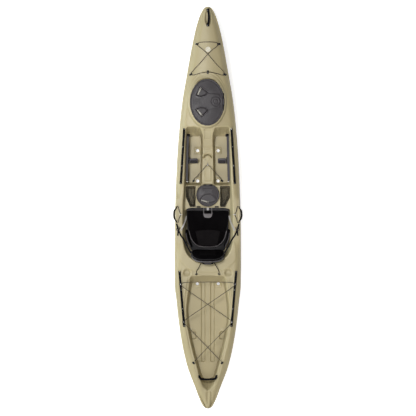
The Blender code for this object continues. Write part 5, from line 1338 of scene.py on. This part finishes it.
LIP_SECTION = ((-0.027, 0.158), (-0.0235, 0.166), (-0.021, 0.182), (-0.020, 0.197), (-0.0165, 0.2065),
               (-0.009, 0.2105), (-0.002, 0.208), (0.0012, 0.2022), (-0.004, 0.2008), (-0.0125, 0.2),
               (-0.0155, 0.19), (-0.0175, 0.175), (-0.0205, 0.160))
LIP_MIDDLE = np.array((-0.013, 0.185))
LIP_CLIPS = (-0.098, 0.095)


def spread(half, count):
    """Places from -half to half, closer together towards the ends."""
    return [half * math.sin(math.pi * (k / count - 0.5)) for k in range(count + 1)]


def lip_back(x):
    """How far the lip's ends sweep back."""
    return 0.01 * float(eased((abs(x) - 0.167) / 0.063))


def make_seat_lip():
    """The padded lip at the front, rolled over the platform's edge."""
    rings = []
    for x in spread(0.23, 60):
        size = 0.35 + 0.65 * math.sqrt(max(0.0, 1 - (abs(x) / 0.2301) ** 12))
        rings.append([(x, *(LIP_MIDDLE + (p - LIP_MIDDLE) * size - (lip_back(x), 0)))
                      for p in np.array(LIP_SECTION)])
    lip = piece("seat_front_lip", rings_form(rings), lip_cloth, smooth_deg=60)
    applied(lip, "SUBSURF", levels=2, render_levels=2)
    seam_path = [(x, -0.003 - lip_back(x), 0.2098) for x in spread(0.222, 40)]
    piece("seat_front_piping", tube_form(seam_path, 0.0026, 10), piping_cloth)
    clips = [block_form((x, 0.0095, 0.2045), (0.044, 0.0145, 0.009), bevel=0.003) for x in LIP_CLIPS]
    clips += [screw_form((x + push, 0.0095, 0.209), radius=0.003, height=0.0012)
              for x in LIP_CLIPS for push in (-0.011, 0.011)]
    piece("seat_front_clips", clips, black_plastic)


def make_lift_strap():
    tab = rounded(mirrored(((0.046, -0.064, 0.006), (0.0445, -0.092, 0.014), (0.022, -0.1095, 0.014))))
    tab = dense(tab, 0.004)
    rings = levelled(*((grown(tab, -inset), z) for inset, z in (
        (0.0015, 0.1628), (0, 0.1638), (0, 0.1652), (0.0015, 0.1664), (0.004, 0.1668), (0.0055, 0.1662),
        (0.0075, 0.1671))))
    piece("lift_tab", rings_form(rings), tab_cloth, replaces=("lift_strap",))
    web = []
    for side, _ in SIDES:
        path = [(side * x, y, z) for x, y, z in ((0.0428, 0.0, 0.2116), (0.0428, -0.0135, 0.2128),
                                                 (0.043, -0.0235, 0.2), (0.0432, -0.0285, 0.175),
                                                 (0.0434, -0.038, 0.1655), (0.0436, -0.072, 0.1669))]
        web.append(strap_form(through(path, 0.004), 0.0075, 0.0022, across=(1, 0, 0)))
    piece("lift_webs", web, tab_cloth)
    loop = [(0, 0.0005, 0.2116), (0, -0.0135, 0.2128), (0, -0.0235, 0.2), (0, -0.0285, 0.18)]
    piece("lift_loop", strap_form(through(loop, 0.004), 0.021, 0.0024, across=(1, 0, 0)), grey_webbing)


WING_ROUTE = ((0.2255, -0.228), (0.2215, -0.28), (0.21, -0.335), (0.193, -0.383), (0.174, -0.4195))
WING_HALF_WIDTH, WING_HALF_HEIGHT = 0.0115, 0.0345
WING_Z = 0.162


def squared(value, power):
    """A circle's sine or cosine, pushed out towards a square's."""
    return math.copysign(abs(value) ** power, value)


def make_wings():
    for side, word in SIDES:
        path = through([(side * x, y, 0) for x, y in WING_ROUTE], 0.005)
        rings = []
        for i, here in enumerate(path):
            ahead = (path[min(i + 1, len(path) - 1)] - path[max(i - 1, 0)]).normalized()
            out = Vector((ahead.y, -ahead.x, 0)) * (-side)
            end = math.sqrt(max(0.05, 1 - abs(2 * i / (len(path) - 1) - 1) ** 10))
            ring = []
            for x, y in circle(1, 28):
                wide = WING_HALF_WIDTH * squared(x, 0.75) * end
                tall = WING_HALF_HEIGHT * squared(y, 0.62) * (0.5 + 0.5 * end)
                ring.append(here + out * wide + UP * (WING_Z + tall))
            rings.append(ring)
        wing = cloth_pad(f"seat_wing_{word}_pad", rings_form(rings), seat_fabric, "hull",
                         (f"seat_wing_{word}",), 0.003)
        wing.data.shade_smooth()
        edge = [p + Vector((side * 0.0105, 0, 0.193)) for p in path[8:-1]]
        piece(f"seat_wing_{word}_piping", tube_form(edge, 0.0034, 10), pale_piping)


BACK_AXIS = Vector((0, -0.45, 0.172))
BACK_LEAN_DEG = 22
BACK_COS, BACK_SIN = turned(1, 0, BACK_LEAN_DEG)
BACK_OUTLINE = rounded(mirrored(((0.094, 0.297, 0.07), (0.156, 0.226, 0.06), (0.183, 0.10, 0.06),
                                 (0.158, 0.02, 0.035))), 12)
BACK_MIDDLE = (0, 0.16)
BACK_SHELL_OUT, BACK_PAD_OUT = -0.0185, -0.0077
BACK_SHELL_THICKNESS, BACK_PAD_THICKNESS = 0.0105, 0.023
BACK_KNUCKLES = (-0.105, 0.105)
BACK_PANEL_HALF = 0.088


def back_point(x, up, out):
    """The place of a point on the backrest, from its hinge: sideways, up along it and out of its face."""
    return BACK_AXIS + Vector((x, out * BACK_COS - up * BACK_SIN, out * BACK_SIN + up * BACK_COS))


def back_unplace(points):
    x, y, z = (points - np.array(BACK_AXIS)).T
    return x, z * BACK_COS - y * BACK_SIN, y * BACK_COS + z * BACK_SIN


def back_seams(x, up):
    deep = np.maximum(groove(up - 0.205 + 0.6 * x * x), groove(up - 0.095 - 0.5 * x * x))
    flanks = 0.004 * groove(np.abs(x) - BACK_PANEL_HALF) * (0.095 < up) * (up < 0.205)
    edge = 0.003 * groove(inside(x, up, BACK_OUTLINE) - 0.026, 0.006)
    return np.maximum(np.maximum(0.0045 * deep, flanks), edge)


def make_seat_back():
    """The backrest: its frame with two hinge knuckles, the pad, and the cloth edges round them."""
    shell = pad_form(grown(BACK_OUTLINE, 0.003), BACK_MIDDLE, BACK_SHELL_OUT, BACK_SHELL_THICKNESS, 0.0,
                     back_point, 0.001)
    piece("seat_back_frame", shell, piping_cloth, "seat_back", ("seat_back_shell",))
    knuckles = []
    for x in BACK_KNUCKLES:
        places = (x - 0.025, x, x + 0.025)
        knuckles.append(tube_form([BACK_AXIS + Vector((at, 0, 0)) for at in places], 0.0085, 20))
        knuckles.append(tube_form([back_point(at, 0.018, -0.011) for at in places], 0.0065, 16))
    piece("seat_back_knuckles", knuckles, black_plastic, "seat_back")
    form = pad_form(BACK_OUTLINE, BACK_MIDDLE, BACK_PAD_OUT, BACK_PAD_THICKNESS, 0.0075, back_point)
    pad = cloth_pad("seat_back_pad", form, seat_fabric, "seat_back", ("seat_back_cushion",), 0.005)
    sewn(pad, back_unplace, 0.008, back_seams, back_fabric,
         lambda x, up: (0.098 < up) & (up < 0.2) & (np.abs(x) < BACK_PANEL_HALF))
    loop = [back_point(x, up, 0.012) for x, up in dense(grown(BACK_OUTLINE, -0.004), 0.01)]
    piece("seat_back_piping", tube_form(loop, PIPING_RADIUS, 12, closed=True), piping_cloth, "seat_back")
    # The paler band over the top, from one shoulder to the other
    top = [p for p in dense(grown(BACK_OUTLINE, 0.002), 0.008) if p[1] > 0.18]
    start = max(range(len(top)), key=lambda k: float(np.linalg.norm(top[k] - top[k - 1])))
    band = [back_point(x, up, -0.0105) for x, up in top[start:] + top[:start]]
    piece("seat_back_band", tube_form(band, 0.0052, 12), pale_piping, "seat_back")


def make_grab_loop():
    """The loop behind the backrest, with its sleeve, webbing tabs and buckles."""
    smoothed("grab_loop", "seat_grab_handle", handle_rubber, "seat_back")
    sleeve = [back_point(x, 0.272, -0.044) for x in np.linspace(-0.036, 0.036, 15)]
    ribs = [1 + 0.05 * (k % 2) for k in range(15)]
    piece("grab_sleeve", tube_form(sleeve, 0.0089, 18, scales=ribs), grey_plastic, "seat_back")
    tabs, buckles = [], []
    for side, _ in SIDES:
        path = [back_point(side * x, up, out) for x, up, out in (
            (0.118, 0.262, -0.0165), (0.098, 0.272, -0.0195), (0.07, 0.27, -0.0195), (0.058, 0.258, -0.0165))]
        tabs.append(strap_form(path, 0.014, 0.0022, across=(0, -BACK_SIN, BACK_COS)))
        place = turned_at(back_point(side * 0.058, 0.247, -0.019), BACK_LEAN_DEG, "X")
        buckles.append(block_form(place, (0.026, 0.007, 0.024), bevel=0.002))
    piece("seat_back_tabs", tabs, grey_webbing, "seat_back")
    piece("seat_back_buckles", buckles, black_plastic, "seat_back")


# Straps and nets
STRAP_THICKNESS = 0.0022
STRAP_WIDTHS = {"side": 0.017, "tail": 0.015, "seat": 0.0155, "rear": 0.0075}


def ladder_form(centre, degrees):
    """A ladder-lock buckle: a frame of rounded bars with two bars across it."""
    width, length, height = 0.03, 0.04, 0.006
    turn = turned_at(centre, degrees)
    bars = [([(x, y, 0) for y in (-length / 2, 0, length / 2)], height / 2) for x in (-width / 2, width / 2)]
    bars += [([(x, y, 0.0008) for x in (-width / 2, 0, width / 2)], 0.42 * height)
             for y in (-length / 2, -0.12 * length, 0.15 * length, length / 2)]
    return [tube_form([turn @ Vector(p) for p in path], radius, 10) for path, radius in bars]


def make_side_straps():
    """The long straps from the gunwales to the backrest, and the pale ones beside the cushion."""
    level = deck_z(0.332, -0.2) + 0.002
    for side, word in SIDES:
        def route(plan, step):
            """The plan's points, whose heights are above the deck's edge."""
            return through([(side * x, y, level + lift) for x, y, lift in plan], step)

        path = route(((0.332, -0.1695, 0.004), (0.324, -0.2, 0.0028), (0.308, -0.245, 0.0022),
                      (0.287, -0.294, 0.002), (0.262, -0.328, 0.003), (0.24, -0.37, 0.001),
                      (0.214, -0.42, -0.011), (0.178, -0.482, -0.025)), 0.006)
        strap = piece(f"side_strap_{word}_web", strap_form(path, STRAP_WIDTHS["side"], STRAP_THICKNESS),
                      black_webbing, None, (f"side_strap_{word}",))
        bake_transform(strap)
        buckle = ladder_form((side * 0.3155, -0.224, level + 0.0045), side * 20)
        piece(f"side_buckle_{word}", buckle, black_plastic)
        tail = route(((0.312, -0.236, 0.0062), (0.3145, -0.258, 0.006), (0.318, -0.278, 0.0035),
                      (0.3195, -0.298, 0.0012)), 0.005)
        piece(f"side_tail_{word}", strap_form(tail, STRAP_WIDTHS["tail"], 0.002), black_webbing)
        path = route(((0.2305, -0.088, 0.157 - level), (0.2343, -0.118, 0.2 - level), (0.2605, -0.19, 0.0025),
                      (0.2725, -0.213, 0.0012), (0.283, -0.242, 0)), 0.006)
        strap = strap_form(path, STRAP_WIDTHS["seat"], STRAP_THICKNESS)
        piece(f"seat_strap_{word}_web", strap, grey_webbing, replaces=(f"seat_strap_{word}",))
        screw = screw_form((side * 0.2775, -0.230, level + 0.0012), radius=0.005, height=0.002)
        piece(f"seat_strap_{word}_screw", screw, dark_steel)


REAR_HOOK = (0.12, -0.7)


def make_rear_straps():
    """The cords from the backrest to the hooks behind it."""
    x, y = REAR_HOOK
    z = deck_z(x, y)
    for side, word in SIDES:
        start = back_point(side * 0.055, 0.245, -0.0158)
        over, *flat = [Vector((side * x, y + back, deck_z(x, y + back) + lift))
                       for back, lift in ((0.02, 0.0085), (0.006, 0.0022), (-0.02, 0.0022))]
        path = through([start, start.lerp(over, 0.5) + Vector((0, 0, -0.002)), over] + flat, 0.006)
        form = strap_form(path, STRAP_WIDTHS["rear"], STRAP_THICKNESS, across=(1, 0, 0))
        strap = piece(f"rear_strap_{word}_web", form, black_webbing, None, (f"rear_strap_{word}",))
        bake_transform(strap)
        wire = [(side * (x + out), y + back, z + lift) for out, back, lift in (
            (-0.012, -0.004, 0.001), (-0.012, 0, 0.0085), (0.012, 0, 0.0085), (0.012, -0.004, 0.001))]
        hook = [block_form((side * x, y - 0.008, z + 0.004), (0.03, 0.009, 0.0055), side * -14, 0.002),
                tube_form(wire, 0.0018, 8)]
        piece(f"rear_hook_{word}", hook, black_plastic)


# The pockets' openings: their outline, the net's own limits along Y, and its inner edge
POCKET = ((0.134, 0.227), (0.2305, 0.227), (0.2305, 0.11), (0.186, 0.012), (0.134, 0.012))
NET_TOP, NET_BOTTOM, NET_INNER = 0.2225, 0.0165, 0.1385
NET_MARGIN = 0.0045
NET_ROWS, NET_COLUMNS = 42, 18
NET_DROOP = 0.006
STRAND = 0.0015
TRAY_EDGE_Z = 0.2022


def pocket_outer(y):
    """The pocket's outer edge, which slants inward at its rear."""
    (x, ahead), (rear_x, behind) = POCKET[2:4]
    return x - (x - rear_x) * max(0.0, (ahead - y) / (ahead - behind))


def net_point(side, row, column):
    y = NET_TOP + (NET_BOTTOM - NET_TOP) * row / NET_ROWS
    x = NET_INNER + (pocket_outer(y) - NET_MARGIN - NET_INNER) * column / NET_COLUMNS
    droop = math.sin(math.pi * row / NET_ROWS) ** 0.6 * math.sin(math.pi * column / NET_COLUMNS) ** 0.8
    return Vector((side * x, y, TRAY_EDGE_Z - NET_DROOP * droop))


def net_form(side):
    """A knotted net of flat strands round open cells, drooping a little into the tray, and its area."""
    index = {(r, c): r * (NET_COLUMNS + 1) + c for r in range(NET_ROWS + 1) for c in range(NET_COLUMNS + 1)}
    points = [net_point(side, r, c) for r, c in index]
    faces, area = [], 0.0
    for r in range(NET_ROWS):
        for c in range(NET_COLUMNS):
            corners = [index[at] for at in ((r, c), (r, c + 1), (r + 1, c + 1), (r + 1, c))]
            middle = sum((points[k] for k in corners), Vector()) / 4
            start = len(points)
            for k in corners:
                gap = middle - points[k]
                share_x, share_y = (min(0.8, STRAND / 2 / max(abs(part), 1e-6)) for part in (gap.x, gap.y))
                points.append(points[k] + Vector((gap.x * share_x, gap.y * share_y,
                                                  gap.z * (share_x + share_y) / 2)))
            for k in range(4):
                m = (k + 1) % 4
                face = (corners[k], corners[m], start + m, start + k)
                faces.append(face)
                first, *others = (points[i] for i in face)
                one, two, three = (other - first for other in others)
                area += (one.cross(two).length + two.cross(three).length) / 2
    return (points, faces), area


def make_pockets():
    for side, word in SIDES:
        form, area = net_form(side)
        hem_path = [(side * x, y, TRAY_EDGE_Z + 0.001) for x, y in dense(np.array(POCKET), 0.01)]
        hem = piece(f"pocket_{word}_hem", tube_form(hem_path, 0.0034, 10, closed=True), net_cord)
        net = piece(f"pocket_{word}_net", form, net_cord, replaces=(f"pocket_{word}",))
        applied(net, "SOLIDIFY", thickness=0.0006, offset=0)


# Camera, light and floor
PIXEL = 0.01062
PICTURE = 416
MIDDLE_PIXEL = (207.8, 207.7)
CAMERA_HEIGHT = 22.0
GUNWALE_HEIGHT = 0.3
FLOOR_REACH = 14.0
FLOOR_GREY = 0.86
FLOOR_GLOW = 0.72
BRIGHT_SIDE = (-0.75, -0.55, 0.35)
ROOM_STRENGTH = 0.42
LAMPS = {"key": ((-1.9, 0.9, 9.0), 1.8, 500, (1, 1, 1)),
         "port": ((-8.0, 0.6, 2.0), 2.5, 320, (0.84, 0.97, 1.0)),
         "aft": ((0.5, -14.0, 10.0), 3.0, 900, (1, 1, 1))}


def make_camera():
    """A camera straight above, which shows the gunwale at the photograph's scale."""
    data = bpy.data.cameras.new("camera")
    camera = added("camera", data)
    data.sensor_width = 36
    data.lens = data.sensor_width * (CAMERA_HEIGHT - GUNWALE_HEIGHT) / (PICTURE * PIXEL)
    data.clip_end = 60
    camera.location = ((PICTURE / 2 - MIDDLE_PIXEL[0]) * PIXEL, (MIDDLE_PIXEL[1] - PICTURE / 2) * PIXEL,
                       CAMERA_HEIGHT)
    bpy.context.scene.camera = camera


def make_floor():
    """A pale floor that keeps the shadow and looks white to the camera and in reflections."""
    mesh = bpy.data.meshes.new("floor")
    corners = [(x * FLOOR_REACH, y * FLOOR_REACH, 0) for x, y in ((-1, -1), (1, -1), (1, 1), (-1, 1))]
    mesh.from_pydata(corners, [], [(0, 1, 2, 3)])
    floor = added("floor", mesh)
    floor.location.z = -0.001
    n = Nodes("floor")
    n.done((FLOOR_GREY,) * 3, 0.9, Specular_IOR_Level=0.1)
    path = n.new("ShaderNodeLightPath")
    seen = n.maths("MAXIMUM", path.outputs["Is Camera Ray"], path.outputs["Is Glossy Ray"])
    lit = n.new("ShaderNodeEmission")
    n.put(lit.inputs["Strength"], n.maths("MULTIPLY", seen, FLOOR_GLOW))
    both = n.new("ShaderNodeAddShader")
    n.put(both.inputs[0], n.shader.outputs[0])
    n.put(both.inputs[1], lit.outputs[0])
    n.put(n.tree.nodes["Material Output"].inputs["Surface"], both.outputs[0])
    mesh.materials.append(n.material)


def make_lights():
    """Three soft lamps, and a room that is brighter towards port and aft."""
    world = bpy.data.worlds.new("world")
    bpy.context.scene.world = world
    world.use_nodes = True
    tree = world.node_tree
    tree.nodes["Background"].inputs["Color"].default_value = (1, 1, 1, 1)
    direction = tree.nodes.new("ShaderNodeTexCoord")
    turn = tree.nodes.new("ShaderNodeVectorMath")
    turn.operation = "DOT_PRODUCT"
    turn.inputs[1].default_value = BRIGHT_SIDE
    level = tree.nodes.new("ShaderNodeMapRange")
    for socket, value in (("From Min", -1), ("From Max", 1), ("To Min", 0.0), ("To Max", ROOM_STRENGTH)):
        level.inputs[socket].default_value = value
    tree.links.new(direction.outputs["Generated"], turn.inputs[0])
    tree.links.new(turn.outputs["Value"], level.inputs["Value"])
    tree.links.new(level.outputs["Result"], tree.nodes["Background"].inputs["Strength"])
    for name, (place, size, power, colour) in LAMPS.items():
        data = bpy.data.lights.new(name, "AREA")
        data.size, data.energy, data.color = size, power, colour
        lamp = added(name, data)
        lamp.location = place
        lamp.rotation_euler = (-Vector(place)).to_track_quat("-Z", "Y").to_euler()
    bpy.context.scene.view_settings.view_transform = "Standard"


for make in (make_camera, make_floor, make_lights, make_hull, make_lids, make_rigging, make_tracks,
             make_foot_braces, make_end_handles, make_side_handles, make_seat_pan, make_seat_lip,
             make_lift_strap, make_wings, make_seat_back, make_grab_loop, make_side_straps, make_rear_straps,
             make_pockets):
    make()
